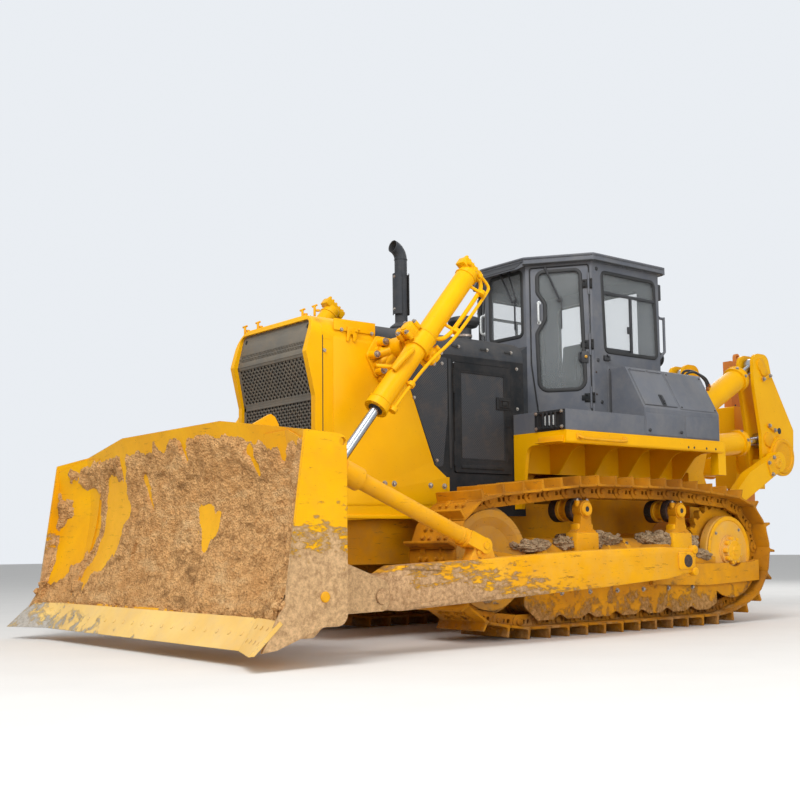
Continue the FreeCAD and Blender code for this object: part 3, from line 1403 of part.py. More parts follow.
def slope_point(s, out):
    """A (y, z) point on the toolbox's slanted face, s up from its shoulder."""
    uy = (toolbox_top_y - toolbox_outer_y) / slope_length()
    uz = (toolbox_top_z - toolbox_shoulder_z) / slope_length()
    return toolbox_outer_y + uy * s + uz * out, toolbox_shoulder_z + uz * s - uy * out


def toolbox_lid():
    """The slanted lid, hinged at its upper edge."""
    return hinged(lid_block(door_gap, toolbox_wall - 2), *lid_hinge(), True)


def blade_lip(section, back):
    """The lower end of the mouldboard, behind the cutting edge."""
    foot = blade_curve(section, 0)[0]
    ux, uz = edge_lean(foot.y)
    run = (foot.z - blade_lip_z) * ux / uz
    return FreeCAD.Vector(foot.x - run - back, foot.y, blade_lip_z)


def space_wire(section):
    """The closed outline of the space in front of the mouldboard at one section."""
    foot, middle, top = blade_curve(section, 0)
    lip = blade_lip(section, 0)
    ahead = blade_tip_x + 1000
    low = FreeCAD.Vector(lip.x, lip.y, -1000)
    corners = [top, FreeCAD.Vector(top.x, top.y, 3000), FreeCAD.Vector(ahead, top.y, 3000),
               FreeCAD.Vector(ahead, top.y, -1000), low, lip, foot]
    lines = [Part.makeLine(p, q) for p, q in zip(corners, corners[1:])]
    return Part.Wire(lines + [Part.Arc(foot, middle, top).toShape()])


def side_block(start, end, low, high, half, y0, y1):
    """A block along a slanting line in side view, from one distance along it to another."""
    a = FreeCAD.Vector(start[0], start[1], 0)
    b = FreeCAD.Vector(end[0], end[1], 0)
    u = (b - a).normalize()
    n = FreeCAD.Vector(-u.y, u.x, 0)
    corners = [a + u * low - n * half, a + u * high - n * half, a + u * high + n * half, a + u * low + n * half]
    return plate_y([(c.x, c.y) for c in corners], y0, y1)


def strut_ends():
    """The fork and pin at the push arm and the eye and pin at the blade's back."""
    rear = (brace_rear_x, brace_rear_z)
    front = (brace_front_x, brace_front_z)
    out = lug_half + seat_gap + 28
    fork = union([disc(*rear, 62, brace_y - out, brace_y + out),
                  side_block(rear, front, 0, 175, 55, brace_y - out, brace_y + out)])
    fork = fork.cut(disc(*rear, 115, brace_y - lug_half - seat_gap, brace_y + lug_half + seat_gap))
    rear_pin = disc(*rear, brace_pin_radius, brace_y - out - 8, brace_y + out + 8)
    length = math.dist(rear, front)
    eye = disc(*front, 52, brace_y - brace_eye_half, brace_y + brace_eye_half)
    neck = side_block(rear, front, length - 150, length, 42, brace_y - brace_eye_half, brace_y + brace_eye_half)
    reach = brace_eye_half + seat_gap + ear_thick + 8
    front_pin = disc(*front, brace_pin_radius, brace_y - reach, brace_y + reach)
    return [fork, rear_pin, eye, neck, front_pin]


def strut_bar(low, high, radius):
    """A round length of the strut between the pins."""
    a = (brace_rear_x, brace_y, brace_rear_z)
    b = (brace_front_x, brace_y, brace_front_z)
    return bar(along(a, b, low), along(a, b, high), radius)


def blade_brace():
    """The rigid strut from the left push arm up to the blade's back."""
    length = math.dist((brace_rear_x, brace_rear_z), (brace_front_x, brace_front_z))
    return union(strut_ends() + [strut_bar(165, length - 115, brace_radius),
                                 strut_bar(length - 420, length - 250, brace_radius + 24)])


def tilt_cylinder():
    """The cylinder that takes the strut's place on the right."""
    length = math.dist((brace_rear_x, brace_rear_z), (brace_front_x, brace_front_z))
    return mirrored(union(strut_ends() + [strut_bar(165, 0.6 * length, brace_radius + 38),
                                          strut_bar(0.55 * length, 0.606 * length, brace_radius + 50),
                                          strut_bar(0.6 * length - 1, length - 100, 45)]))


def build():
    """Every sub-part, in the order of the machine's own assembly."""
    save("main_frame", chassis())
    save("cross_bars", Part.makeCompound([equalizer_bar(), pivot_shaft()]))
    left = track_loop()
    save("track_left", left)
    save("track_right", mirrored(left))
    save("sprockets", both_sides(sprocket()))
    save("final_drives", both_sides(final_drive()))
    save("idlers", both_sides(idler()))
    rollers = track_rollers()
    save("track_rollers", Part.makeCompound(rollers + [mirrored(s) for s in rollers]))
    carriers = [carrier_roller(x) for x in carrier_xs]
    save("carrier_rollers", Part.makeCompound(carriers + [mirrored(s) for s in carriers]))
    frame = track_frame()
    save("track_frame_left", frame)
    save("track_frame_right", mirrored(frame))

    save("radiator_guard", radiator_guard())
    save("radiator_grille", radiator_grille())
    save("radiator_core", radiator_core())
    save("engine_block", engine_block())
    save("hood_front", hood_front())
    save("hood_rear", hood_rear())
    save("side_panels", both_sides(side_panel()))
    save("rear_panels", both_sides(rear_panel()))
    save("bulkhead", bulkhead())
    door = engine_door()
    save("engine_door_left", door)
    save("engine_door_right", mirrored(door))
    save("exhaust_stack", exhaust_stack())
    save("pre_cleaner", pre_cleaner())

    save("fenders", both_sides(fender()))
    save("fender_skirts", both_sides(fender_skirt()))
    lamps = [fender_lamp(), rear_lamp()]
    save("work_lamps", Part.makeCompound(lamps + [mirrored(s) for s in lamps]))
    save("toolboxes", both_sides(toolbox()))
    lid = toolbox_lid()
    save("toolbox_lid_left", lid)
    save("toolbox_lid_right", mirrored(lid))

    save("cab_shell", cab_shell())
    save("cab_roof", cab_roof())
    save("cab_glass", cab_glass())
    door = cab_door()
    save("cab_door_left", door)
    save("cab_door_right", mirrored(door))
    glass = door_glass()
    save("door_glass_left", glass)
    save("door_glass_right", mirrored(glass))
    save("operator_seat", seat())
    save("controls", controls())
    save("handrails", both_sides(handrail()))

    save("blade_moldboard", moldboard())
    save("cutting_edge", cutting_edge())
    save("end_bits", both_sides(end_bit()))
    save("push_arms", both_sides(push_arm()))
    save("blade_brace", blade_brace())
    save("tilt_cylinder", tilt_cylinder())
    barrel = lift_barrel()
    save("lift_barrel_left", barrel)
    save("lift_barrel_right", mirrored(barrel))
    rod = lift_rod()
    save("lift_rod_left", rod)
    save("lift_rod_right", mirrored(rod))
    save("lift_brackets", both_sides(lift_bracket()))

    save("ripper_bracket", ripper_bracket())
    save("ripper_arm", ripper_arm())
    save("ripper_pins", ripper_pins())
    save("ripper_carrier", ripper_carrier())
    save("ripper_shank", ripper_shank())
    for name, base, tip, foot, inner, gland in (
            ("upper", upper_base, upper_tip, upper_foot, upper_rod_inner, upper_gland),
            ("lower", lower_base, lower_tip, lower_foot, lower_rod_inner, lower_gland)):
        barrel, rod = ripper_cylinder(base, tip, foot, inner, gland)
        save("ripper_" + name + "_barrels", both_sides(barrel))
        save("ripper_" + name + "_rods", both_sides(rod))


os.makedirs("parts", exist_ok=True)
build()
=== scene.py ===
import math
import random

import bmesh
import bpy
from mathutils import Matrix, Vector, noise
from mathutils.bvhtree import BVHTree


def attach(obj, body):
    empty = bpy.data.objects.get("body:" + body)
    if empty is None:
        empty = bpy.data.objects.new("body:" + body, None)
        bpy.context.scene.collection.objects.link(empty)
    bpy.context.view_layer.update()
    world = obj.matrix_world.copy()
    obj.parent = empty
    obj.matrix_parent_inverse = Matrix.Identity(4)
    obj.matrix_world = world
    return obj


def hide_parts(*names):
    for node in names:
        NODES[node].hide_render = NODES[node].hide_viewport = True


# Looks of a track-type dozer: work-stained yellow enamel, dark cab and hood, dried soil on blade and tracks.
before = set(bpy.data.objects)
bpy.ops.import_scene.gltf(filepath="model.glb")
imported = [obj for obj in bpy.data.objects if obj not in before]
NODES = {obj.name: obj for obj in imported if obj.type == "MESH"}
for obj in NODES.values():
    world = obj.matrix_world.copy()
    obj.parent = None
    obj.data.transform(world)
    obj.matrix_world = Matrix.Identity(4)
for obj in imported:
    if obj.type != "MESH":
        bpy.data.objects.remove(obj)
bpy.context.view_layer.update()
DRAW = random.Random(7)


# Materials

def linear(code):
    """The linear colour of an sRGB hex value."""
    parts = [int(code[i:i + 2], 16) / 255 for i in (1, 3, 5)]
    return tuple(p / 12.92 if p <= 0.04045 else ((p + 0.055) / 1.055) ** 2.4 for p in parts) + (1,)


def add(tree, kind, inputs=None, **settings):
    """Adds a shader node. An input is a value, an output or a node, whose first output in use is taken."""
    made = tree.nodes.new("ShaderNode" + kind)
    for key, value in settings.items():
        setattr(made, key, value)
    for key, value in (inputs or {}).items():
        socket = made.inputs[key] if isinstance(key, int) else next(
            s for s in made.inputs if s.name == key and s.enabled)
        if isinstance(value, bpy.types.Node):
            value = next(s for s in value.outputs if s.enabled)
        if isinstance(value, bpy.types.NodeSocket):
            tree.links.new(value, socket)
        else:
            socket.default_value = value
    return made


def blank(name):
    """A new material with an empty node tree."""
    material = bpy.data.materials.new(name)
    material.use_nodes = True
    material.node_tree.nodes.clear()
    return material, material.node_tree


def enamel(name, light, dark, rough=0.34, dust=0.3, dust_and_shade_colour="#C9AA78", mud=0.0, mud_top=1.0, worn=0.6,
           bare="#6E4B2C", coat=0.02, mud_light="#C99E6A", mud_dark="#8A6238", lean=None, drag=0.0, clean_front=False, scuff=0.0):
    """Sprayed machine enamel on steel plate: an even satin coat that drifts a little in tone, greys with dust
    on its upper faces, takes dust and painted shade in its corners, is rubbed to brown metal on its edges, and holds
    dried soil low down."""
    material, tree = blank(name)
    place = add(tree, "TexCoord").outputs["Object"]
    face = add(tree, "NewGeometry").outputs["Normal"]
    drift = add(tree, "TexNoise", {"Vector": place, "Scale": 1.6, "Detail": 4.0, "Roughness": 0.6})
    drift = add(tree, "MapRange", {"Value": drift, "From Min": 0.35, "From Max": 0.65})
    paint = add(tree, "Mix", {"Factor": drift, "A": linear(light), "B": linear(dark)}, data_type="RGBA")
    # Dust lies in blotches a hand wide, thickest on faces that look up; corners get dust and painted shade
    film = add(tree, "TexNoise", {"Vector": place, "Scale": 5.5, "Detail": 10.0, "Roughness": 0.72})
    film = add(tree, "MapRange", {"Value": film, "From Min": 0.42, "From Max": 0.72})
    up = add(tree, "SeparateXYZ", {"Vector": face}).outputs["Z"]
    up = add(tree, "MapRange", {"Value": up, "From Min": 0.1, "From Max": 0.9, "To Max": 0.45})
    # Painted shade with dust: an occlusion mask mixes the dust colour into corners and creases where shade falls
    corner = add(tree, "AmbientOcclusion", {"Distance": 0.09}, samples=4).outputs["AO"]
    corner = add(tree, "MapRange", {"Value": corner, "From Min": 0.3, "From Max": 0.8, "To Min": 0.8, "To Max": 0.0})
    dust_and_shade_mask = add(tree, "Math", {0: film, 1: up}, operation="ADD")
    dust_and_shade_mask = add(tree, "Math", {0: dust_and_shade_mask, 1: corner}, operation="ADD")
    dust_and_shade_mask = add(tree, "Math", {0: dust_and_shade_mask, 1: dust}, operation="MULTIPLY", use_clamp=True)
    paint = add(tree, "Mix", {"Factor": dust_and_shade_mask, "A": paint, "B": linear(dust_and_shade_colour)}, data_type="RGBA")
    # Edges are rubbed through to the metal in patches
    soft = add(tree, "Bevel", {"Radius": 0.007}, samples=4)
    edge = add(tree, "VectorMath", {0: soft, 1: face}, operation="DOT_PRODUCT").outputs["Value"]
    edge = add(tree, "MapRange", {"Value": edge, "From Min": 0.8, "From Max": 0.96, "To Min": 1.0, "To Max": 0.0})
    patch = add(tree, "TexNoise", {"Vector": place, "Scale": 13.0, "Detail": 6.0, "Roughness": 0.7})
    patch = add(tree, "MapRange", {"Value": patch, "From Min": 0.5, "From Max": 0.6, "To Max": worn})
    edge = add(tree, "Math", {0: edge, 1: patch}, operation="MULTIPLY")
    speck = add(tree, "TexNoise", {"Vector": place, "Scale": 42.0, "Detail": 3.0, "Roughness": 0.6})
    speck = add(tree, "MapRange", {"Value": speck, "From Min": 0.68, "From Max": 0.73, "To Max": worn * 0.8})
    edge = add(tree, "Math", {0: edge, 1: speck}, operation="MAXIMUM")
    paint = add(tree, "Mix", {"Factor": edge, "A": paint, "B": linear(bare)}, data_type="RGBA")
    if scuff:
        # Stones leave thin brown scratches that run along the plate
        lane = add(tree, "Mapping", {"Vector": place, "Rotation": (0, math.radians(-24), 0), "Scale": (1.0, 1.0, 7.0)})
        lane = add(tree, "TexNoise", {"Vector": lane, "Scale": 4.0, "Detail": 12.0, "Roughness": 0.78})
        lane = add(tree, "MapRange", {"Value": lane, "From Min": 0.585, "From Max": 0.64, "To Max": scuff})
        paint = add(tree, "Mix", {"Factor": lane, "A": paint, "B": linear("#7A5224")}, data_type="RGBA")
        edge = add(tree, "Math", {0: edge, 1: lane}, operation="MAXIMUM")
    dull = add(tree, "Math", {0: dust_and_shade_mask, 1: edge}, operation="MAXIMUM")
    relief = add(tree, "TexNoise", {"Vector": place, "Scale": 160.0, "Detail": 2.0})
    bump = add(tree, "Bump", {"Height": relief, "Strength": 0.05, "Distance": 0.002, "Normal": soft})
    if mud:
        wiped = place
        if drag:
            # Soil that was scraped along the plate lies in slanting streaks
            wiped = add(tree, "Mapping", {"Vector": place, "Rotation": (0, math.radians(-35), 0),
                                          "Scale": (1, 1, drag)})
        lump = add(tree, "TexNoise", {"Vector": wiped, "Scale": 6.0, "Detail": 12.0, "Roughness": 0.74})
        level = add(tree, "SeparateXYZ", {"Vector": place}).outputs["Z"]
        level = add(tree, "MapRange", {"Value": level, "From Min": mud_top, "From Max": mud_top - 0.7,
                                       "To Min": -0.22, "To Max": 0.25})
        if lean:
            axis, low, high, amount = lean
            ahead = add(tree, "SeparateXYZ", {"Vector": place}).outputs[axis]
            ahead = add(tree, "MapRange", {"Value": ahead, "From Min": low, "From Max": high, "To Min": -amount,
                                           "To Max": amount})
            level = add(tree, "Math", {0: level, 1: ahead}, operation="ADD")
        if clean_front:
            # The blade's face carries its soil as a piece of its own
            spots = add(tree, "SeparateXYZ", {"Vector": place})
            wing = add(tree, "Math", {0: spots.outputs["Y"]}, operation="ABSOLUTE")
            wing = add(tree, "MapRange", {"Value": wing, "From Min": 1.955, "From Max": 1.975, "To Min": -1.0,
                                          "To Max": 0.0})
            front = add(tree, "MapRange", {"Value": spots.outputs["X"], "From Min": 3.53, "From Max": 3.57})
            wing = add(tree, "Math", {0: wing, 1: front}, operation="MULTIPLY")
            level = add(tree, "Math", {0: level, 1: wing}, operation="ADD")
        lump = add(tree, "Math", {0: lump, 1: level}, operation="ADD")
        cover = add(tree, "MapRange", {"Value": lump, "From Min": 0.5, "From Max": 0.58, "To Max": mud})
        grit = add(tree, "TexNoise", {"Vector": place, "Scale": 26.0, "Detail": 12.0, "Roughness": 0.8})
        tone = add(tree, "MapRange", {"Value": grit, "From Min": 0.38, "From Max": 0.6})
        soil = add(tree, "Mix", {"Factor": tone, "A": linear(mud_dark), "B": linear(mud_light)}, data_type="RGBA")
        paint = add(tree, "Mix", {"Factor": cover, "A": paint, "B": soil}, data_type="RGBA")
        dull = add(tree, "Math", {0: dull, 1: cover}, operation="MAXIMUM")
        height = add(tree, "Math", {0: cover, 1: grit}, operation="MULTIPLY")
        bump = add(tree, "Bump", {"Height": height, "Strength": 0.9, "Distance": 0.02, "Normal": bump})
    gloss = add(tree, "MapRange", {"Value": dull, "To Min": rough, "To Max": 0.85})
    shader = add(tree, "BsdfPrincipled", {"Base Color": paint, "Roughness": gloss, "Normal": bump,
                                          "Coat Weight": coat, "Coat Roughness": 0.3,
                                          "Specular IOR Level": 0.12})
    add(tree, "OutputMaterial", {"Surface": shader})
    return material


def metal(name, light, dark, rough, grain=60.0, rust=0.0, streak=(1, 1, 1), metallic=1.0):
    """Bare metal, turned, cast or plated: its tone and gloss vary with the grain, and rust blooms on it."""
    material, tree = blank(name)
    place = add(tree, "TexCoord").outputs["Object"]
    place = add(tree, "Mapping", {"Vector": place, "Scale": streak})
    grit = add(tree, "TexNoise", {"Vector": place, "Scale": grain, "Detail": 6.0, "Roughness": 0.65})
    tone = add(tree, "MapRange", {"Value": grit, "From Min": 0.35, "From Max": 0.65})
    paint = add(tree, "Mix", {"Factor": tone, "A": linear(light), "B": linear(dark)}, data_type="RGBA")
    bloom = add(tree, "TexNoise", {"Vector": place, "Scale": 9.0, "Detail": 9.0, "Roughness": 0.7})
    bloom = add(tree, "MapRange", {"Value": bloom, "From Min": 0.48, "From Max": 0.62, "To Max": rust})
    paint = add(tree, "Mix", {"Factor": bloom, "A": paint, "B": linear("#7B4A28")}, data_type="RGBA")
    gloss = add(tree, "MapRange", {"Value": tone, "To Min": rough, "To Max": rough + 0.15})
    shine = add(tree, "MapRange", {"Value": bloom, "To Min": metallic, "To Max": metallic * 0.2})
    bump = add(tree, "Bump", {"Height": grit, "Strength": 0.12, "Distance": 0.002})
    shader = add(tree, "BsdfPrincipled", {"Base Color": paint, "Roughness": gloss, "Metallic": shine, "Normal": bump})
    add(tree, "OutputMaterial", {"Surface": shader})
    return material


def soil(name, light, mid, dark, drag=0.0):
    """Dried loam: fine crumbs, darker in the hollows of their relief and paler on its crests, no gloss at all, dragged
    in streaks.
    """
    material, tree = blank(name)
    place = add(tree, "TexCoord").outputs["Object"]
    slow = add(tree, "TexNoise", {"Vector": place, "Scale": 2.6, "Detail": 6.0, "Roughness": 0.65})
    grit = add(tree, "TexNoise", {"Vector": place, "Scale": 17.0, "Detail": 13.0, "Roughness": 0.72})
    crumb = add(tree, "TexVoronoi", {"Vector": place, "Scale": 55.0}).outputs["Distance"]
    tone = add(tree, "MapRange", {"Value": grit, "From Min": 0.30, "From Max": 0.58})
    base = add(tree, "Mix", {"Factor": tone, "A": linear(dark), "B": linear(light)}, data_type="RGBA")
    slow = add(tree, "MapRange", {"Value": slow, "From Min": 0.42, "From Max": 0.62, "To Max": 0.6})
    base = add(tree, "Mix", {"Factor": slow, "A": base, "B": linear(mid)}, data_type="RGBA")
    if drag:
        lane = add(tree, "Mapping", {"Vector": place, "Rotation": (math.radians(28), 0, 0), "Scale": (1, 1, drag)})
        lane = add(tree, "TexNoise", {"Vector": lane, "Scale": 2.6, "Detail": 11.0, "Roughness": 0.66})
        pale = add(tree, "MapRange", {"Value": lane, "From Min": 0.52, "From Max": 0.68, "To Max": 0.65})
        base = add(tree, "Mix", {"Factor": pale, "A": base, "B": linear("#E0B985")}, data_type="RGBA")
        damp = add(tree, "MapRange", {"Value": lane, "From Min": 0.46, "From Max": 0.34, "To Max": 0.75})
        base = add(tree, "Mix", {"Factor": damp, "A": base, "B": linear("#7E5A35")}, data_type="RGBA")
    height = add(tree, "Math", {0: grit, 1: crumb}, operation="ADD")
    bump = add(tree, "Bump", {"Height": height, "Strength": 1.0, "Distance": 0.018})
    shader = add(tree, "BsdfPrincipled", {"Base Color": base, "Roughness": 0.95, "Normal": bump,
                                          "Specular IOR Level": 0.15})
    add(tree, "OutputMaterial", {"Surface": shader})
    return material


def plastic(name, light, dark, rough, grain=220.0, strength=0.1):
    """Moulded plastic or rubber: one dark tone with a fine even grain and a trace of dust."""
    material, tree = blank(name)
    place = add(tree, "TexCoord").outputs["Object"]
    grit = add(tree, "TexNoise", {"Vector": place, "Scale": grain, "Detail": 3.0})
    slow = add(tree, "TexNoise", {"Vector": place, "Scale": 7.0, "Detail": 8.0, "Roughness": 0.7})
    tone = add(tree, "MapRange", {"Value": slow, "From Min": 0.4, "From Max": 0.68})
    base = add(tree, "Mix", {"Factor": tone, "A": linear(light), "B": linear(dark)}, data_type="RGBA")
    gloss = add(tree, "MapRange", {"Value": tone, "To Min": rough, "To Max": rough + 0.12})
    bump = add(tree, "Bump", {"Height": grit, "Strength": strength, "Distance": 0.002})
    shader = add(tree, "BsdfPrincipled", {"Base Color": base, "Roughness": gloss, "Normal": bump})
    add(tree, "OutputMaterial", {"Surface": shader})
    return material


def pane(name, tint, cover):
    """Toughened window glass: clear, with a thin haze of dust that is thicker in blotches."""
    material, tree = blank(name)
    place = add(tree, "TexCoord").outputs["Object"]
    haze = add(tree, "TexNoise", {"Vector": place, "Scale": 3.0, "Detail": 9.0, "Roughness": 0.7})
    haze = add(tree, "MapRange", {"Value": haze, "From Min": 0.4, "From Max": 0.7, "To Min": 0.04, "To Max": 0.22})
    shader = add(tree, "BsdfPrincipled", {"Base Color": linear(tint), "Roughness": haze, "Alpha": cover,
                                          "IOR": 1.52})
    add(tree, "OutputMaterial", {"Surface": shader})
    return material


def mesh_screen(name, light, dark, pitch):
    """Punched dark sheet: round holes in staggered rows, drawn 16 mm apart so that they still show, filled with
    near-black painted shade.
    """
    material, tree = blank(name)
    place = add(tree, "TexCoord").outputs["Object"]
    grid = add(tree, "Mapping", {"Vector": place, "Rotation": (0, math.radians(45), 0)})
    cell = add(tree, "TexVoronoi", {"Vector": grid, "Scale": 1 / pitch, "Randomness": 0.0}).outputs["Distance"]
    hole = add(tree, "MapRange", {"Value": cell, "From Min": 0.28, "From Max": 0.34})
    slow = add(tree, "TexNoise", {"Vector": place, "Scale": 6.0, "Detail": 9.0, "Roughness": 0.75})
    slow = add(tree, "MapRange", {"Value": slow, "From Min": 0.5, "From Max": 0.7, "To Max": 0.35})
    sheet = add(tree, "Mix", {"Factor": slow, "A": linear(light), "B": linear("#6A5744")}, data_type="RGBA")
    # Painted shade: the holes take the near-black colour of the shade behind the sheet
    base = add(tree, "Mix", {"Factor": hole, "A": linear(dark), "B": sheet}, data_type="RGBA")
    bump = add(tree, "Bump", {"Height": hole, "Strength": 0.5, "Distance": 0.003})
    shader = add(tree, "BsdfPrincipled", {"Base Color": base, "Roughness": 0.5, "Normal": bump})
    add(tree, "OutputMaterial", {"Surface": shader})
    return material


YELLOW = ("#F2B400", "#EBA900")
MAT = {
    "yellow": enamel("satin_enamel_yellow", *YELLOW, dust=0.10, worn=0.4, dust_and_shade_colour="#D29E38"),
    "yellow_dusty": enamel("dusty_enamel_yellow", "#EEAC00", "#E09B02", rough=0.42, dust=0.3, worn=0.9, scuff=0.35,
                           dust_and_shade_colour="#C79550"),
    "yellow_hub": enamel("hub_enamel_yellow", "#EBB034", "#DD9F36", rough=0.5, dust=0.6, worn=0.9, bare="#6A4A2A",
                         dust_and_shade_colour="#D6AE74"),
    # Low frames and rollers: darker paint, dust and mud, partly real soil and partly painted shade under the machine
    "yellow_low_with_painted_shade": enamel("muddy_enamel_yellow_with_painted_shade", "#E29C04", "#CB8605", rough=0.5, dust=0.5, mud=0.8, mud_top=0.62,
                         worn=1.0, dust_and_shade_colour="#A8793E", scuff=0.8, mud_dark="#5E4228"),
    "yellow_arm": enamel("arm_enamel_yellow", "#F0AC00", "#E49E02", rough=0.45, dust=0.2, mud=1.0, mud_top=0.74,
                         worn=0.8, lean=("X", -0.6, 2.6, 0.20), drag=3.0, mud_light="#DDB384", mud_dark="#9C7650",
                         scuff=0.75),
    "shank": enamel("shank_enamel_orange", "#D9853A", "#BE6F2E", rough=0.55, dust=0.45, dust_and_shade_colour="#C08A58",
                    worn=0.7, bare="#5E3A22"),
    "yellow_chain": enamel("track_enamel_ochre", "#CE8808", "#8C5610", rough=0.55, dust=0.35, mud=0.5, mud_top=0.45,
                           worn=1.0, bare="#2E1E14", dust_and_shade_colour="#96692F", scuff=0.8),
    "yellow_blade": enamel("blade_enamel_yellow", "#F2B200", "#E8A202", dust=0.3, mud=1.0, mud_top=1.22, worn=0.7,
                           drag=2.0, dust_and_shade_colour="#C68E34", mud_light="#E3BB8A", mud_dark="#A9845C",
                           clean_front=True, scuff=0.5),
    "yellow_edge": enamel("edge_enamel_straw", "#F2CC74", "#E4B55A", rough=0.42, dust=0.5, mud=0.9, mud_top=0.42,
                          worn=0.9, bare="#A39A8C", dust_and_shade_colour="#DDBE8C", mud_light="#C6C3BE", mud_dark="#A19E99",
                          lean=("Y", 0.6, -1.9, 0.14)),
    "idler": enamel("idler_enamel_ochre", "#D59A2C", "#BD8428", rough=0.6, dust=0.8, mud=0.6, mud_top=0.5,
                    worn=1.0, bare="#4E3622", dust_and_shade_colour="#B58A54", scuff=0.9),
    "dark": enamel("satin_enamel_graphite", "#686B72", "#5D6067", rough=0.4, dust=0.3, dust_and_shade_colour="#8C8780",
                   worn=0.2, bare="#77726C"),
    "dark_hood": enamel("satin_enamel_slate", "#404348", "#373A3E", rough=0.42, dust=0.3, dust_and_shade_colour="#6E665C",
                        worn=0.3, bare="#6A6560"),
    # Black enamel, also painted shade on the radiator grille behind the mesh bars
    "black": enamel("satin_enamel_black_and_grille_shade", "#26282B", "#1D1F21", rough=0.42, dust=0.3, dust_and_shade_colour="#57504A",
                    worn=0.3, bare="#5A5148"),
    # The screen's near-black holes are painted shade
    "screen": mesh_screen("punched_sheet_with_painted_hole_shade", "#34363A", "#070708", 0.016),
    "grille": enamel("satin_enamel_grey", "#6F6B62", "#605D56", rough=0.4, dust=0.4, dust_and_shade_colour="#8E7E68", worn=0.2,
                     bare="#7A736A"),
    "steel": metal("worn_steel", "#B9B4AC", "#8E877D", 0.38, rust=0.5),
    "bolt": metal("zinc_plated_steel", "#C9C6BF", "#8F867B", 0.4, grain=120.0, rust=0.55),
    "brass": metal("worn_brass", "#B98B3E", "#8A642A", 0.35),
    "pale_rail": metal("galvanised_steel", "#D9DBDA", "#B9BBBA", 0.45, metallic=0.3),
    "chrome": metal("hard_chrome", "#B9BCC0", "#9EA2A6", 0.16, grain=200.0, streak=(1, 1, 1)),
    "cast": metal("cast_iron_dark", "#4B4744", "#34312F", 0.6, rust=0.35, metallic=0.6),
    # Black rubber, also used as painted shade for the discs and blocks that fill holes, bores and slots
    "rubber": plastic("black_rubber_and_hole_shade", "#1B1C1D", "#2C2B2A", 0.55),
    "moulding": plastic("black_polypropylene", "#232426", "#37373A", 0.5),
    "vinyl": plastic("seat_vinyl_charcoal", "#3A3B3E", "#4A4A4C", 0.55, grain=300.0, strength=0.3),
    "glass": pane("toughened_glass", "#C3CACB", 0.13),
    "lens": pane("lamp_glass", "#E8ECEC", 0.75),
    "soil_blade": soil("caked_loam", "#E2AF74", "#CB945A", "#86592F", drag=3.4),
    "soil_dark": soil("damp_loam", "#BFA482", "#A08664", "#66503A"),
    "copper": metal("copper_alloy", "#B87A45", "#8A5630", 0.4),
}
DRESS = {
    "yellow": "radiator_guard hood_front side_panels lift_brackets fenders ripper_arm ripper_pins ripper_carrier "
              "lift_barrel_left lift_barrel_right ripper_upper_barrels ripper_lower_barrels",
    "yellow_dusty": "carrier_rollers ripper_bracket blade_brace tilt_cylinder",
    "yellow_hub": "final_drives",
    # The low parts' coat holds painted shade as well as mud
    "yellow_low_with_painted_shade": "track_frame_left track_frame_right track_rollers main_frame cross_bars sprockets",
    "idler": "idlers",
    "shank": "ripper_shank",
    "yellow_arm": "push_arms",
    "yellow_chain": "track_left track_right",
    "yellow_blade": "blade_moldboard",
    "yellow_edge": "cutting_edge end_bits",
    "dark": "cab_shell cab_door_left cab_door_right cab_roof toolboxes toolbox_lid_left toolbox_lid_right "
            "fender_skirts handrails",
    "dark_hood": "hood_rear bulkhead exhaust_stack",
    # radiator_grille's black is painted shade for the openings behind the mesh
    "black": "rear_panels engine_door_left engine_door_right radiator_grille work_lamps",
    "moulding": "pre_cleaner controls",
    "cast": "engine_block radiator_core",
    "chrome": "lift_rod_left lift_rod_right ripper_upper_rods ripper_lower_rods",
    "glass": "cab_glass door_glass_left door_glass_right",
    "vinyl": "operator_seat",
}
for key, names in DRESS.items():
    for node_name in names.split():
        mesh = NODES[node_name].data
        mesh.materials.clear()
        mesh.materials.append(MAT[key])


# Making and placing pieces

def alone(piece):
    """Selects one piece and nothing else."""
    bpy.ops.object.select_all(action="DESELECT")
    piece.select_set(True)
    bpy.context.view_layer.objects.active = piece
    return piece


def settle():
    """Puts the new piece's place and turn into its mesh."""
    piece = bpy.context.object
    alone(piece)
    bpy.ops.object.transform_apply(location=True, rotation=True, scale=True)
    return piece


def modify(piece, kind, **settings):
    """Adds a modifier and applies it."""
    alone(piece)
    made = piece.modifiers.new(kind.lower(), kind)
    for key, value in settings.items():
        setattr(made, key, value)
    bpy.ops.object.modifier_apply(modifier=made.name)
    return piece


def softened(piece, width):
    """Rounds a piece's sharp edges."""
    if width:
        modify(piece, "BEVEL", width=width, segments=2, limit_method="ANGLE", angle_limit=math.radians(40))
    return piece


def block(centre, size, bevel=0.003, turn=(0, 0, 0)):
    """A block with rounded edges. Its turn is in degrees."""
    bpy.ops.mesh.primitive_cube_add(size=1, location=centre, rotation=[math.radians(a) for a in turn])
    bpy.context.object.scale = size
    return softened(settle(), bevel)


def rod(a, b, radius, sides=20, bevel=0.0, end=None):
    """A round bar between two points, or a cone where its end has another radius."""
    a, b = Vector(a), Vector(b)
    turn = (b - a).to_track_quat("Z", "Y").to_euler()
    bpy.ops.mesh.primitive_cone_add(vertices=sides, radius1=radius, radius2=radius if end is None else end,
                                    depth=(b - a).length, location=(a + b) / 2, rotation=turn)
    return softened(settle(), bevel)


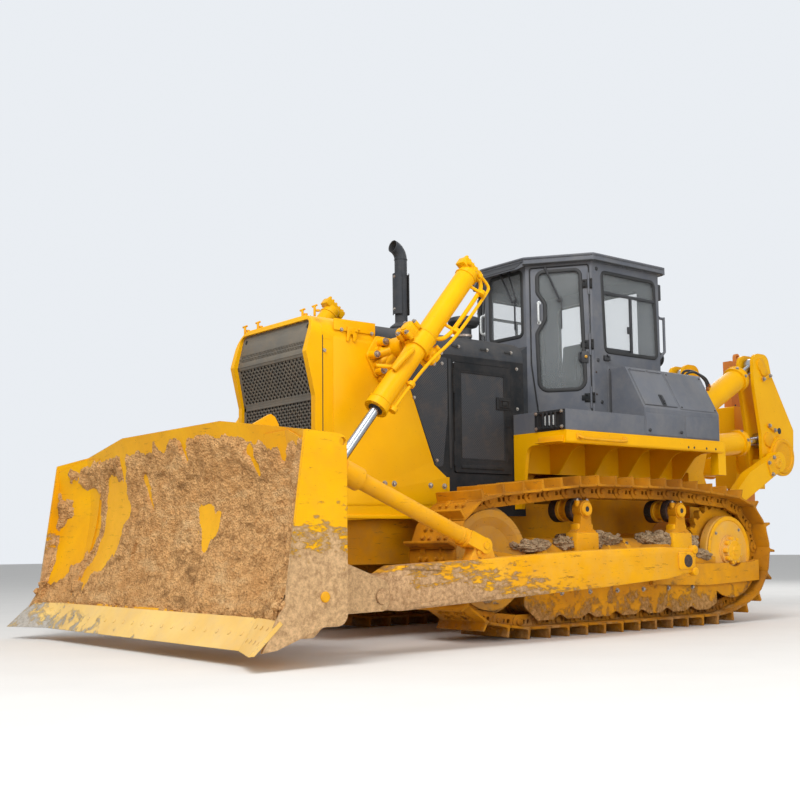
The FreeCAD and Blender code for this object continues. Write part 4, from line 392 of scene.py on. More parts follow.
def rounded(points, steps=5):
    """Outline points (u, v) or (u, v, corner radius) with the corners rounded."""
    out = []
    for i, point in enumerate(points):
        here = Vector(point[:2])
        if len(point) < 3:
            out.append(here)
            continue
        before = (Vector(points[i - 1][:2]) - here).normalized()
        after = (Vector(points[(i + 1) % len(points)][:2]) - here).normalized()
        half = before.angle(after) / 2
        centre = here + (before + after).normalized() * point[2] / math.sin(half)
        first = here + before * point[2] / math.tan(half) - centre
        turn = math.pi - 2 * half
        if before.x * after.y - before.y * after.x > 0:
            turn = -turn
        for step in range(steps + 1):
            a = turn * step / steps
            out.append(centre + Vector((first.x * math.cos(a) - first.y * math.sin(a),
                                        first.x * math.sin(a) + first.y * math.cos(a))))
    return out


AXES = {"x": ((0, 1, 0), (0, 0, 1)), "y": ((1, 0, 0), (0, 0, 1)), "z": ((1, 0, 0), (0, 1, 0))}


def plane(u, v, origin):
    """The place of a plane drawn with axes u and v through an origin."""
    u, v = Vector(u).normalized(), Vector(v).normalized()
    w = u.cross(v)
    return Matrix.Translation(origin) @ Matrix((u, v, w)).transposed().to_4x4()


def view(axis, level):
    """A plane square to an axis: x is seen as (y, z), y as (x, z) and z as (x, y)."""
    origin = [0, 0, 0]
    origin["xyz".index(axis)] = level
    return plane(*AXES[axis], origin)


def line_curve(points, closed, kind="POLY", shape="3D"):
    """A curve through or round points."""
    curve = bpy.data.curves.new("line", "CURVE")
    curve.dimensions = shape
    spline = curve.splines.new(kind)
    spline.points.add(len(points) - 1)
    for spot, point in zip(spline.points, points):
        spot.co = (*point, 1) if len(point) == 3 else (*point, 0, 1)
    spline.use_cyclic_u = closed
    if kind == "NURBS":
        spline.order_u = 3
        spline.use_endpoint_u = not closed
        spline.resolution_u = 6
    piece = bpy.data.objects.new("line", curve)
    bpy.context.scene.collection.objects.link(piece)
    return piece


def meshed(piece, place=None):
    """A curve made a mesh, then put in its place."""
    alone(piece)
    bpy.ops.object.convert(target="MESH")
    piece = bpy.context.object
    modify(piece, "WELD", merge_threshold=0.00005)
    if place:
        piece.data.transform(place)
    return piece


def plate(points, thick, place, bevel=0.0, holes=()):
    """A flat plate with rounded corners and holes, thick both ways about its plane."""
    piece = line_curve(rounded(points), True, shape="2D")
    curve = piece.data
    for hole in holes:
        spots = rounded(hole)
        spline = curve.splines.new("POLY")
        spline.points.add(len(spots) - 1)
        for spot, point in zip(spline.points, spots):
            spot.co = (*point, 0, 1)
        spline.use_cyclic_u = True
    curve.fill_mode = "BOTH"
    curve.extrude = thick / 2 - bevel
    curve.bevel_depth = bevel
    curve.bevel_resolution = 1
    curve.offset = -bevel
    return meshed(piece, place)


def pipe(points, radius, closed=False, kind="NURBS", sides=2, place=None):
    """A bent pipe along points."""
    piece = line_curve(points, closed, kind)
    piece.data.bevel_depth = radius
    piece.data.bevel_resolution = sides
    piece.data.use_fill_caps = True
    return meshed(piece, place)


def turned(profile, centre, axis, steps=32):
    """A turned shape from (radius, height) points about an axis."""
    mesh = bpy.data.meshes.new("turned")
    spots = [(r, 0, h) for r, h in profile]
    mesh.from_pydata(spots, [(i, i + 1) for i in range(len(spots) - 1)], [])
    piece = bpy.data.objects.new("turned", mesh)
    bpy.context.scene.collection.objects.link(piece)
    modify(piece, "SCREW", axis="Z", steps=steps, render_steps=steps, use_merge_vertices=True,
           merge_threshold=0.0001, use_normal_calculate=True)
    outward(piece)
    piece.data.transform(at(centre, axis))
    return piece


def outward(piece):
    """Turns a closed mesh's faces outwards."""
    alone(piece)
    bpy.ops.object.mode_set(mode="EDIT")
    bpy.ops.mesh.select_all(action="SELECT")
    bpy.ops.mesh.remove_doubles(threshold=0.0001)
    bpy.ops.mesh.normals_make_consistent(inside=False)
    bpy.ops.object.mode_set(mode="OBJECT")


def at(point, toward=(0, 0, 1), spin=0.0):
    """A place whose Z looks toward a direction."""
    turn = Vector(toward).to_track_quat("Z", "Y").to_matrix().to_4x4()
    return Matrix.Translation(point) @ turn @ Matrix.Rotation(spin, 4, "Z")


def copies(piece, places):
    """One piece copied to each place, all in one mesh."""
    whole = bmesh.new()
    for place in places:
        mesh = piece.data.copy()
        mesh.transform(place)
        whole.from_mesh(mesh)
        bpy.data.meshes.remove(mesh)
    whole.to_mesh(piece.data)
    whole.free()
    return piece


def joined(pieces):
    """Several pieces made one."""
    bpy.ops.object.select_all(action="DESELECT")
    for piece in pieces:
        piece.select_set(True)
    bpy.context.view_layer.objects.active = pieces[0]
    if len(pieces) > 1:
        bpy.ops.object.join()
    return bpy.context.object


def other_side(piece):
    """The same piece on the machine's other side."""
    twin = piece.copy()
    twin.data = piece.data.copy()
    bpy.context.scene.collection.objects.link(twin)
    twin.data.transform(Matrix.Scale(-1, 4, (0, 1, 0)))
    twin.data.flip_normals()
    return twin


def fit(name, pieces, material, body="tractor", both=False, replaces=()):
    """Joins pieces into one named part, dresses it and sets it on its body, on both sides where asked."""
    piece = joined(pieces)
    if both and "left" not in body:
        piece = joined([piece, other_side(piece)])
    parts = [(piece, name, body, replaces)]
    if both and "left" in body:
        right = [node_name.replace("left", "right") for node_name in replaces]
        parts.append((other_side(piece), name.replace("left", "right"), body.replace("left", "right"), right))
    for part, title, carrier, stands_for in parts:
        part.name = title
        part.data.name = title
        part.data.materials.clear()
        part.data.materials.append(MAT[material])
        alone(part)
        bpy.ops.object.shade_smooth_by_angle(angle=math.radians(35))
        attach(part, carrier)
        if stands_for:
            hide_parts(*stands_for)
    return piece


def bolt(size):
    """A hexagon bolt head on its washer, size across its corners."""
    head = rod((0, 0, size * 0.12), (0, 0, size * 0.62), size / 2, sides=6, bevel=size * 0.05)
    washer = rod((0, 0, -size * 0.04), (0, 0, size * 0.14), size * 0.72, sides=14)
    return joined([head, washer])


def bolts(size, spots, toward):
    """Bolt heads at points, all facing one way, each turned a little differently."""
    return copies(bolt(size), [at(spot, toward, DRAW.uniform(0, 1)) for spot in spots])


# Camera at the photo's angle

CAMERA_AT = (7.9065, 8.2013, 0.7607)
YAW, PITCH, ROLL = (math.radians(a) for a in (231.2508, 5.5285, -0.6051))
look = Vector((math.cos(YAW) * math.cos(PITCH), math.sin(YAW) * math.cos(PITCH), math.sin(PITCH)))
level_right = Vector((math.sin(YAW), -math.cos(YAW), 0))
level_up = level_right.cross(look)
right = level_right * math.cos(ROLL) + level_up * math.sin(ROLL)
up_axis = level_up * math.cos(ROLL) - level_right * math.sin(ROLL)
lens = bpy.data.cameras.new("photo_camera")
lens.sensor_width = 36
lens.lens = 1166.05 * 36 / 800
lens.shift_x = -0.0006
lens.shift_y = 0.0429
lens.clip_end = 500
camera = bpy.data.objects.new("photo_camera", lens)
camera.matrix_world = Matrix.Translation(CAMERA_AT) @ Matrix((right, up_axis, -look)).transposed().to_4x4()
bpy.context.scene.collection.objects.link(camera)
bpy.context.scene.camera = camera

# Light and floor

bpy.context.scene.view_settings.view_transform = "Standard"


def lamp(name, place, aim, size, power):
    """A large soft lamp."""
    light = bpy.data.lights.new(name, "AREA")
    light.size = size
    light.energy = power
    piece = bpy.data.objects.new(name, light)
    piece.matrix_world = at(place, Vector(place) - Vector(aim))
    bpy.context.scene.collection.objects.link(piece)


lamp("key", (9, 5, 11), (0, 0, 1), 7, 1340)
lamp("fill", (2, 13, 5), (0, 0, 1.5), 8, 560)
lamp("back", (-10, -4, 8), (0, 0, 1.5), 7, 450)
world = bpy.data.worlds.new("studio")
bpy.context.scene.world = world
world.use_nodes = True
world.node_tree.nodes.clear()
rays = add(world.node_tree, "LightPath")
shown = add(world.node_tree, "Math", {0: rays.outputs["Is Camera Ray"], 1: rays.outputs["Is Glossy Ray"]},
            operation="MAXIMUM")
soft_sky = add(world.node_tree, "Background", {"Color": linear("#F1F4F8"), "Strength": 0.56})
pale_sky = add(world.node_tree, "Background", {"Color": linear("#EDF1F6"), "Strength": 0.97})
sky = add(world.node_tree, "MixShader", {0: shown, 1: soft_sky, 2: pale_sky})
add(world.node_tree, "OutputWorld", {"Surface": sky})
bpy.ops.mesh.primitive_plane_add(size=120, location=(0, 0, 0))
floor = settle()
floor.name = "floor"
stone, tree = blank("pale_screed")
grain = add(tree, "TexNoise", {"Vector": add(tree, "TexCoord").outputs["Object"], "Scale": 1.5, "Detail": 9.0})
ground = add(tree, "Mix", {"Factor": grain, "A": linear("#DAD8D4"), "B": linear("#E3E1DD")}, data_type="RGBA")
add(tree, "OutputMaterial", {"Surface": add(tree, "BsdfPrincipled", {"Base Color": ground, "Roughness": 0.9})})
floor.data.materials.append(stone)


# Tracks: 41 shoes on a chain of paired links

SHOES = 41
PITCH_RADIUS = 0.480
SPROCKET = (-1.800, 0.695)
IDLER = (1.360, 0.650)
PIN_LOW = 0.130
ROLLER_LINE = 0.3073
CARRIER_LINE = 0.167
TRACK_Y = 1.070
SHOE_WIDTH = 0.560


def belt_spans(circles):
    """Lines and arcs of a belt round circles of (x, z, radius)."""
    normals = []
    for i, (x, z, r) in enumerate(circles):
        nx, nz, nr = circles[(i + 1) % len(circles)]
        normals.append(math.atan2(nz - z, nx - x) - math.acos((r - nr) / math.hypot(nx - x, nz - z)))
    spans = []
    for i, (x, z, r) in enumerate(circles):
        turn = (normals[i] - normals[i - 1]) % (2 * math.pi)
        spans.append((r * turn, x, z, r, normals[i - 1], turn))
        nx, nz, nr = circles[(i + 1) % len(circles)]
        a = normals[i]
        start = Vector((x + r * math.cos(a), z + r * math.sin(a)))
        end = Vector((nx + nr * math.cos(a), nz + nr * math.sin(a)))
        spans.append(((end - start).length, start, end))
    return spans


def belt_spot(spans, distance):
    """The place at a distance along the belt."""
    for span in spans:
        if distance <= span[0]:
            break
        distance -= span[0]
    share = distance / span[0]
    if len(span) == 3:
        return span[1].lerp(span[2], share)
    _, x, z, r, first, turn = span
    return Vector((x + r * math.cos(first + turn * share), z + r * math.sin(first + turn * share)))


roller_run = ROLLER_LINE - PIN_LOW
belt = belt_spans([(*SPROCKET, PITCH_RADIUS), (-1.560, ROLLER_LINE, roller_run), (1.080, ROLLER_LINE, roller_run),
                   (*IDLER, PITCH_RADIUS), (0.295, 1.073, CARRIER_LINE), (-1.007, 1.073, CARRIER_LINE)])
belt_length = sum(span[0] for span in belt)
pins = [belt_spot(belt, belt_length * i / SHOES) for i in range(SHOES)]


def link_places():
    """Each link's place: X runs on to the next pin, Y across the machine and Z outwards from the belt."""
    places = []
    for i, pin in enumerate(pins):
        run = (pins[(i + 1) % SHOES] - pin).normalized()
        ahead = Vector((run.x, 0, run.y))
        outward_axis = Vector((run.y, 0, -run.x))
        across = outward_axis.cross(ahead)
        turn = Matrix((ahead, across, outward_axis)).transposed().to_4x4()
        places.append(Matrix.Translation((pin.x, TRACK_Y, pin.y)) @ turn)
    return places


def track_shoe():
    """One shoe: a bent plate with its grouser, four bolts and the lips that lap over the next shoe."""
    profile = [(-0.004, 0.032), (-0.004, 0.046), (0.007, 0.052), (0.009, 0.126), (0.017, 0.130), (0.030, 0.130),
               (0.034, 0.058, 0.006), (0.070, 0.051), (0.204, 0.051), (0.236, 0.041), (0.240, 0.031), (0.206, 0.030)]
    shoe = plate(profile, SHOE_WIDTH, view("y", 0), bevel=0.0)
    softened(shoe, 0.0025)
    heads = bolts(0.034, [(x, y, 0.051) for x in (0.085, 0.165) for y in (-0.14, -0.06, 0.06, 0.14)], (0, 0, 1))
    return [shoe, heads]


def track_link(side):
    """One link: its boss round the pin, the waist and the rail that the rollers run on."""
    y = side * 0.100
    boss = rod((0, y - 0.026, -0.002), (0, y + 0.032 * side + (0.0 if side > 0 else 0.026), -0.002), 0.060, sides=18,
               bevel=0.003)
    waist = [(0.030, -0.061), (0.030, 0.034), (0.205, 0.034), (0.255, 0.016, 0.02), (0.262, -0.024, 0.02),
             (0.240, -0.061, 0.01)]
    window = [[(0.095, -0.020, 0.008), (0.095, 0.014, 0.008), (0.125, 0.014, 0.008), (0.125, -0.020, 0.008)],
              [(0.150, -0.020, 0.008), (0.150, 0.014, 0.008), (0.180, 0.014, 0.008), (0.180, -0.020, 0.008)]]
    body = plate(waist, 0.036, view("y", y), holes=window)
    pin = rod((0, y, -0.002), (0, y + side * 0.042, -0.002), 0.024, sides=14, bevel=0.002)
    return [boss, body, pin]


chain = copies(joined(track_shoe() + track_link(1) + track_link(-1)), link_places())
fit("track_chain_left", [chain], "yellow_chain", replaces=["track_left"])
twin = other_side(bpy.data.objects["track_chain_left"])
fit("track_chain_right", [twin], "yellow_chain", replaces=["track_right"])

# Nose: grille plate, diamond mesh, lid and lugs

HOOD_SIDE = 0.587
HOOD_TOP = 2.650
NOSE_TOP = (2.624, 2.650)
NOSE_TIP = (2.700, 2.328)
NOSE_BEND = (2.631, 1.977)
GRILLE_HALF = 0.530
SIDE = (0, 1, 0)


def slanted(low, high, y=0.0):
    """A plane that runs up from one (x, z) point to another: v is up it, u to the machine's left."""
    return plane((0, 1, 0), (high[0] - low[0], 0, high[1] - low[1]), (low[0], y, low[1]))


def diamond_mesh(half, low, high, pitch, width, place, lift):
    """Two sets of slanting bars over a panel from v = low to high."""
    bars = []
    count = int((2 * half + high - low) / pitch) + 1
    for i in range(count):
        s = -half - (high - low) + i * pitch
        for lean in (1, -1):
            ends = []
            for v in (low, high):
                ends.append(Vector((lean * (s + v - low), v)))
            a, b = ends
            run = b - a
            cuts = [0.0, 1.0]
            for edge in (-half, half):
                if abs(run.x) > 1e-6:
                    cuts.append((edge - a.x) / run.x)
            cuts = sorted(t for t in cuts if -1e-6 <= t <= 1 + 1e-6)
            kept = [t for t in cuts if abs((a + run * t).x) <= half + 1e-5]
            if len(kept) < 2 or kept[-1] - kept[0] < 0.02:
                continue
            p, q = a + run * kept[0], a + run * kept[-1]
            bars.append(((p + q) / 2, (q - p).length, math.atan2(run.y, run.x)))
    strip = block((0, 0, 0), (1, width, 0.004), 0)
    places = [place @ Matrix.Translation((c.x, c.y, lift)) @ Matrix.Rotation(a, 4, "Z") @ Matrix.Scale(n, 4, (1, 0, 0))
              for c, n, a in bars]
    return copies(strip, places)


top_place = slanted(NOSE_TIP, NOSE_TOP)
mid_place = slanted(NOSE_BEND, NOSE_TIP)
low_place = slanted((NOSE_BEND[0], 1.06), NOSE_BEND)
TOP_LENGTH = 0.285
MID_LENGTH = math.dist(NOSE_BEND, NOSE_TIP)
LOW_LENGTH = NOSE_BEND[1] - 1.06
h = GRILLE_HALF
grille = [plate([(-h, 0.100, 0.01), (-h, TOP_LENGTH, 0.05), (h, TOP_LENGTH, 0.05), (h, 0.100, 0.01)], 0.006,
                top_place @ Matrix.Translation((0, 0, 0.006)), 0.001,
                holes=[[(s * 0.475 - 0.02, 0.205, 0.019), (s * 0.475 - 0.02, 0.245, 0.019),
                        (s * 0.475 + 0.02, 0.245, 0.019), (s * 0.475 + 0.02, 0.205, 0.019)] for s in (-1, 1)])]
grille.append(plate([(-h, -0.01), (-h, 0.038), (h, 0.038), (h, -0.01)], 0.006,
                    top_place @ Matrix.Translation((0, 0, 0.006)), 0.001))
grille.append(plate([(-h, 0.064), (-h, 0.072), (h, 0.072), (h, 0.064)], 0.006,
                    top_place @ Matrix.Translation((0, 0, 0.006))))
tooth = plate([(0, 0), (0.008, 0.029), (0.019, 0.029), (0.011, 0)], 0.006, Matrix.Identity(4))
teeth = [top_place @ Matrix.Translation((-0.505 + 0.0245 * i, v, 0.006)) for i in range(42) for v in (0.037, 0.071)]
grille.append(copies(tooth, teeth))
for s in (-1, 1):
    grille.append(plate([(s * 0.520 - 0.012, 0.03), (s * 0.520 - 0.012, 0.105), (s * 0.520 + 0.012, 0.105),
                         (s * 0.520 + 0.012, 0.03)], 0.006, top_place @ Matrix.Translation((0, 0, 0.006))))
grille.append(diamond_mesh(h, 0.012, MID_LENGTH - 0.01, 0.054, 0.013, mid_place, 0.006))
grille.append(diamond_mesh(h, 0.01, LOW_LENGTH - 0.03, 0.054, 0.013, low_place, 0.006))
for place, length in ((mid_place, MID_LENGTH), (low_place, LOW_LENGTH)):
    for s in (-1, 1):
        grille.append(plate([(s * 0.516 - 0.014, 0), (s * 0.516 - 0.014, length), (s * 0.516 + 0.014, length),
                             (s * 0.516 + 0.014, 0)], 0.008, place @ Matrix.Translation((0, 0, 0.007))))
    for v in (0.012, length - 0.014):
        grille.append(plate([(-h, v - 0.016), (-h, v + 0.016), (h, v + 0.016), (h, v - 0.016)], 0.008,
                            place @ Matrix.Translation((0, 0, 0.007))))
fit("grille_mesh", grille, "grille")
mesh_back = [rod((2.600, s * 0.475, 2.545), (2.650, s * 0.475, 2.556), 0.024, bevel=0.002) for s in (-1, 1)]
fit("grille_plugs", mesh_back, "rubber")

lugs = []
for x, y in ((2.64, -0.525), (2.65, -0.295), (2.64, 0.376), (2.65, 0.565)):
    lugs.append(rod((x, y, 2.62), (x, y, 2.700), 0.011, 10, 0.002))
    lugs.append(block((x, y, 2.702), (0.016, 0.052, 0.014), 0.003, (12, 0, 20)))
    lugs.append(rod((x - 0.02, y + 0.018, 2.655), (x - 0.02, y + 0.018, 2.672), 0.016, 6))
fit("hood_lugs", lugs, "yellow_dusty")

lid = [(2.058, 2.524, 0.012), (2.058, 2.62), (2.482, 2.62), (2.482, 2.524, 0.012)]
skin = [plate(lid, 0.006, view("y", HOOD_SIDE + 0.002), 0.001)]
emboss = [(2.488, 1.10, 0.03), (2.488, 2.484, 0.04), (1.86, 2.452, 0.02), (1.455, 1.480, 0.03), (1.29, 1.36, 0.02),
          (1.29, 1.12, 0.03)]
skin.append(plate(emboss, 0.006, view("y", HOOD_SIDE + 0.0015), 0.0015))
skin.append(block((1.93, HOOD_SIDE + 0.006, 1.010), (1.30, 0.024, 0.030), 0.004))
fit("hood_skins", skin, "yellow", both=True)
seam = [block((2.5905, 0, 2.652), (0.006, 0.84, 0.004), 0)]
for s in (-1, 1):
    seam.append(block((2.5905, s * (HOOD_SIDE + 0.001), 1.72), (0.006, 0.005, 1.50), 0))
fit("nose_seam", seam, "rubber")
leg = plate([(2.232, 2.560, 0.005), (2.350, 2.560, 0.005), (2.361, 2.440, 0.008), (2.340, 2.440, 0.006),
             (2.322, 2.500, 0.012), (2.298, 2.500, 0.012), (2.292, 2.440, 0.006), (2.272, 2.440, 0.006)], 0.010,
            view("y", HOOD_SIDE + 0.014), 0.002)
fit("lid_bracket", [leg, bolts(0.022, [(2.243, 0.606, 2.545), (2.263, 0.606, 2.530)], SIDE)], "yellow", both=True)
fit("side_bolts", [
    bolts(0.034, [(1.973, HOOD_SIDE + 0.004, 1.286), (1.873, HOOD_SIDE + 0.004, 1.288),
                  (1.476, HOOD_SIDE + 0.004, 1.283), (1.320, HOOD_SIDE + 0.004, 1.280)], SIDE),
    bolts(0.022, [(2.405, HOOD_SIDE + 0.005, 2.533), (2.095, HOOD_SIDE + 0.005, 2.530),
                  (2.573, HOOD_SIDE + 0.002, 2.345)], SIDE),
    bolts(0.022, [(1.646, HOOD_SIDE + 0.004, 2.028), (1.325, HOOD_SIDE + 0.001, 2.351),
                  (1.400, HOOD_SIDE + 0.004, 1.500), (0.786, HOOD_SIDE + 0.001, 2.521),
                  (0.488, HOOD_SIDE + 0.001, 2.525), (0.420, HOOD_SIDE + 0.001, 2.380),
                  (0.420, HOOD_SIDE + 0.001, 2.010), (1.130, HOOD_SIDE + 0.001, 2.521)], SIDE),
], "bolt", both=True)

# Black side: punched triangle, slots and the engine door's frame, mesh and latch
triangle = [(1.808, 2.405, 0.02), (1.270, 2.405, 0.02), (1.270, 1.900, 0.02), (1.330, 1.450, 0.03),
            (1.410, 1.450, 0.03)]
fit("vent_screen", [plate(triangle, 0.004, view("y", HOOD_SIDE + 0.0015))], "screen", both=True)
# Painted shade: black blocks where the slots open
strips = [block((x, HOOD_SIDE + 0.002, 2.522), (0.070, 0.008, 0.016), 0.002) for x in (1.175, 0.832, 0.533)]
strips += [block((1.240, HOOD_SIDE + 0.003, 1.92), (0.030, 0.006, 0.96), 0.002)]
fit("hood_slots", strips, "rubber", both=True)
door = [plate([(0.585, 1.520, 0.012), (0.585, 2.300, 0.012), (1.125, 2.300, 0.012), (1.125, 1.520, 0.012)], 0.004,
              view("y", 0.5925))]
fit("door_mesh_left", door, "screen", "engine_door_left", True)
rim = [(0.560, 1.495, 0.02), (0.560, 2.325, 0.02), (1.150, 2.325, 0.02), (1.150, 1.495, 0.02)]
gap = [(0.598, 1.533, 0.012), (0.598, 2.287, 0.012), (1.112, 2.287, 0.012), (1.112, 1.533, 0.012)]
frame_ring = plate(rim, 0.008, view("y", 0.5955), 0.0015, holes=[gap])
square = plate([(0.498, 1.985, 0.006), (0.498, 2.098, 0.006), (0.692, 2.098, 0.006), (0.692, 1.985, 0.006)], 0.006,
               view("y", 0.603), 0.001)
ring = plate([(0.535, 2.005), (0.535, 2.078), (0.662, 2.078), (0.662, 2.005)], 0.014, view("y", 0.610), 0.002,
             holes=[[(0.549, 2.018), (0.549, 2.065), (0.648, 2.065), (0.648, 2.018)]])
latch = block((0.598, 0.611, 2.041), (0.060, 0.012, 0.040), 0.004)
fit("door_frame_left", [frame_ring, square, ring, latch,
                        block((0.875, 0.606, 1.455), (0.50, 0.010, 0.030), 0.003)], "black",
    "engine_door_left", True)

# Exhaust: base rings, shield bolts and the weld round the elbow
STACK_X = 1.300
rings = [turned([(0.060, 0.0), (0.112, 0.002), (0.120, 0.012), (0.120, 0.030), (0.112, 0.040), (0.100, 0.044),
                 (0.106, 0.052), (0.106, 0.064), (0.098, 0.072), (0.062, 0.100), (0.060, 0.100)],
                (STACK_X, 0, 2.700), (0, 0, 1), 40)]
rings.append(turned([(0.0585, -0.004), (0.0625, -0.003), (0.0625, 0.003), (0.0585, 0.004)], (STACK_X, 0, 3.392),
                    (0, 0, 1), 32))
fit("exhaust_rings", rings, "dark_hood")
fit("shield_bolts", [bolts(0.020, [(STACK_X + 0.076, 0, z) for z in (2.926, 3.226)], (1, 0, 0)),
                     bolts(0.020, [(STACK_X - 0.076, 0, z) for z in (2.926, 3.226)], (-1, 0, 0))],
    "bolt")
fit("cleaner_clamp", [turned([(0.069, 0.030), (0.076, 0.030), (0.076, 0.050), (0.069, 0.050)],
                             (0.830, 0.330, 2.640), (0, 0, 1), 28)], "steel")

# Lift cylinders, left side in the plane of the cylinder
LIFT_Y = 1.000
LIFT_PIVOT = Vector((1.910, LIFT_Y, 2.410))
LIFT_EYE = Vector((3.088, LIFT_Y, 0.970))
lift_run = (LIFT_EYE - LIFT_PIVOT).normalized()
lift_side = Vector((-lift_run.z, 0, lift_run.x))


def on_lift(along, across=0.0, y=LIFT_Y):
    """A point along the lift cylinder from its pivot, and across it: forward and up is positive."""
    spot = LIFT_PIVOT + lift_run * along + lift_side * across
    return Vector((spot.x, y, spot.z))


def on_barrel(along, turn, radius):
    """A point on the barrel's skin. The turn is in degrees from the rear side towards the outer side."""
    a = math.radians(turn)
    spot = on_lift(along, -radius * math.cos(a))
    return Vector((spot.x, LIFT_Y + radius * math.sin(a), spot.z))


yoke = []
for side in (-1, 1):
    inner = on_lift(0, side * 0.105)
    outer = on_lift(0, side * 0.196)
    yoke.append(rod(inner, outer, 0.066, 8, 0.004))
    yoke.append(rod(on_lift(0, side * 0.190), on_lift(0, side * 0.204), 0.046, 24, 0.003))
    for along, y in ((-0.062, 0.045), (0.062, 0.045), (-0.062, -0.065), (0.062, -0.065)):
        yoke.append(rod(on_lift(along, side * 0.110, LIFT_Y + y), on_lift(along, side * 0.178, LIFT_Y + y), 0.022, 14,
                        0.003))
for along, reach in ((-0.075, 0.106), (0.075, 0.106), (0.662, 0.102)):
    yoke.append(turned([(0.084, -0.006), (reach - 0.002, -0.006), (reach, 0.0), (reach - 0.002, 0.006), (0.084, 0.006)],
                       on_lift(along), lift_run, 40))
for spin in range(8):
    yoke.append(rod(on_barrel(0.733, 45 * spin + 20, 0.080), on_barrel(0.742, 45 * spin + 20, 0.080), 0.009, 6))
# Valve block over the cylinder's head, with its plugs and the ports of both pipes
yoke.append(rod(on_lift(-0.800), on_lift(-0.788), 0.097, 40, 0.004))
yoke.append(rod(on_lift(-0.872), on_lift(-0.800), 0.082, 32, 0.006))
block_turn = (0, math.degrees(math.atan2(lift_run.z, -lift_run.x)), 0)
yoke.append(block(on_lift(-0.880, 0.006), (0.075, 0.110, 0.235), 0.008, block_turn))
yoke.append(block(on_lift(-0.905, -0.080), (0.060, 0.080, 0.060), 0.006, block_turn))
for across in (-0.085, -0.040, 0.010, 0.055, 0.095):
    yoke.append(rod(on_lift(-0.900, across), on_lift(-0.944, across), 0.020, 14, 0.003))
    yoke.append(rod(on_lift(-0.940, across), on_lift(-0.958, across), 0.013, 6, 0.001))
for across in (-0.075, 0.0, 0.075):
    yoke.append(rod(on_lift(-0.872, across, LIFT_Y + 0.05), on_lift(-0.872, across, LIFT_Y + 0.084), 0.019, 14, 0.003))
# Pipes down the rear side, held by clips
front_pipe = [on_lift(-0.870, -0.110, LIFT_Y + 0.030), on_lift(-0.850, -0.165, LIFT_Y + 0.030),
              on_barrel(-0.700, 30, 0.170), on_barrel(-0.30, 30, 0.165), on_barrel(-0.22, 30, 0.155),
              on_barrel(-0.14, 30, 0.130), on_barrel(-0.120, 30, 0.080)]
rear_pipe = [on_lift(-0.890, -0.100, LIFT_Y + 0.050), on_lift(-0.900, -0.215, LIFT_Y + 0.050),
             on_lift(-0.820, -0.225, LIFT_Y + 0.060), on_barrel(-0.30, 38, 0.220), on_barrel(-0.12, 38, 0.200),
             on_barrel(0.10, 38, 0.150), on_barrel(0.40, 38, 0.125), on_barrel(0.655, 38, 0.120)]
yoke.append(pipe(front_pipe, 0.019, sides=3))
yoke.append(pipe(rear_pipe, 0.014, sides=3))
for along, turn, reach in ((-0.28, 32, 0.185), (0.385, 38, 0.128), (0.665, 38, 0.122), (-0.74, 32, 0.19)):
    yoke.append(rod(on_barrel(along - 0.020, turn, reach), on_barrel(along + 0.020, turn, reach), 0.032, 10, 0.003))
    yoke.append(rod(on_barrel(along, turn, 0.07), on_barrel(along, turn, reach), 0.014, 10))
# Lever lug on the lower barrel's upper face
lever = [on_barrel(0.150, 130, 0.090), on_barrel(0.210, 130, 0.130), on_barrel(0.32, 140, 0.125),
         on_barrel(0.40, 150, 0.105)]
yoke.append(pipe(lever, 0.024, sides=3))
yoke.append(rod(on_barrel(0.36, 175, 0.09), on_barrel(0.42, 200, 0.190), 0.017, 14, 0.003))
fit("lift_fittings_left", yoke, "yellow", "lift_barrel_left", both=True)
heads = []
for side in (-1, 1):
    for along, y in ((-0.062, 0.045), (0.062, 0.045), (-0.062, -0.065), (0.062, -0.065)):
        spot = on_lift(along, side * 0.178, LIFT_Y + y)
        heads.append(bolts(0.030, [spot], lift_side * side))
fit("yoke_bolts_left", heads, "bolt", "lift_barrel_left", True)
gland = [turned([(0.042, 0.0), (0.060, 0.0), (0.060, 0.008), (0.042, 0.010)], on_lift(0.735), lift_run, 32)]
fit("rod_seal_left", gland, "rubber", "lift_barrel_left", True)
eye = [turned([(0.036, -0.056), (0.070, -0.056), (0.074, -0.050), (0.074, 0.050), (0.070, 0.056), (0.036, 0.056)],
              LIFT_EYE, SIDE, 36),
       rod(on_lift(1.794), on_lift(1.825), 0.050, 24, 0.003, end=0.058)]
fit("rod_eye_left", eye, "yellow_dusty", "lift_rod_left", True)

# Cast brackets on the hood's side, with long bolts
cast = []
for x, z in ((2.026, 2.459), (2.116, 2.344), (2.048, 2.217)):
    cast.append(rod((x, HOOD_SIDE, z), (x, 0.690, z), 0.036, 20, 0.006, end=0.032))
cast.append(plate([(1.80, 2.50, 0.03), (2.06, 2.515, 0.03), (2.165, 2.344, 0.03), (2.07, 2.165, 0.03),
                   (1.85, 2.190, 0.04)], 0.022, view("y", HOOD_SIDE + 0.012), 0.004))
for x, z in ((2.026, 2.459), (2.116, 2.344), (2.048, 2.217), (1.93, 2.30)):
    cast.append(rod((x - 0.03, 0.610, z), (1.925, 0.720, 2.400), 0.030, 12, 0.006, end=0.05))
fit("bracket_ribs", cast, "yellow", both=True)
fit("bracket_bolts", [bolts(0.042, [(2.026, 0.690, 2.459), (2.116, 0.690, 2.344), (2.048, 0.690, 2.217)], SIDE)],
    "bolt", both=True)

# Cab: window seals, door gap and hinges, latch, handle, wipers, roof edge and side panels
CAB_SIDE = 0.800
CAB_FRONT = -0.030
CAB_REAR = -1.390
EAVES = 3.470
DOOR_HINGES = (2.155, 2.665, 3.255)


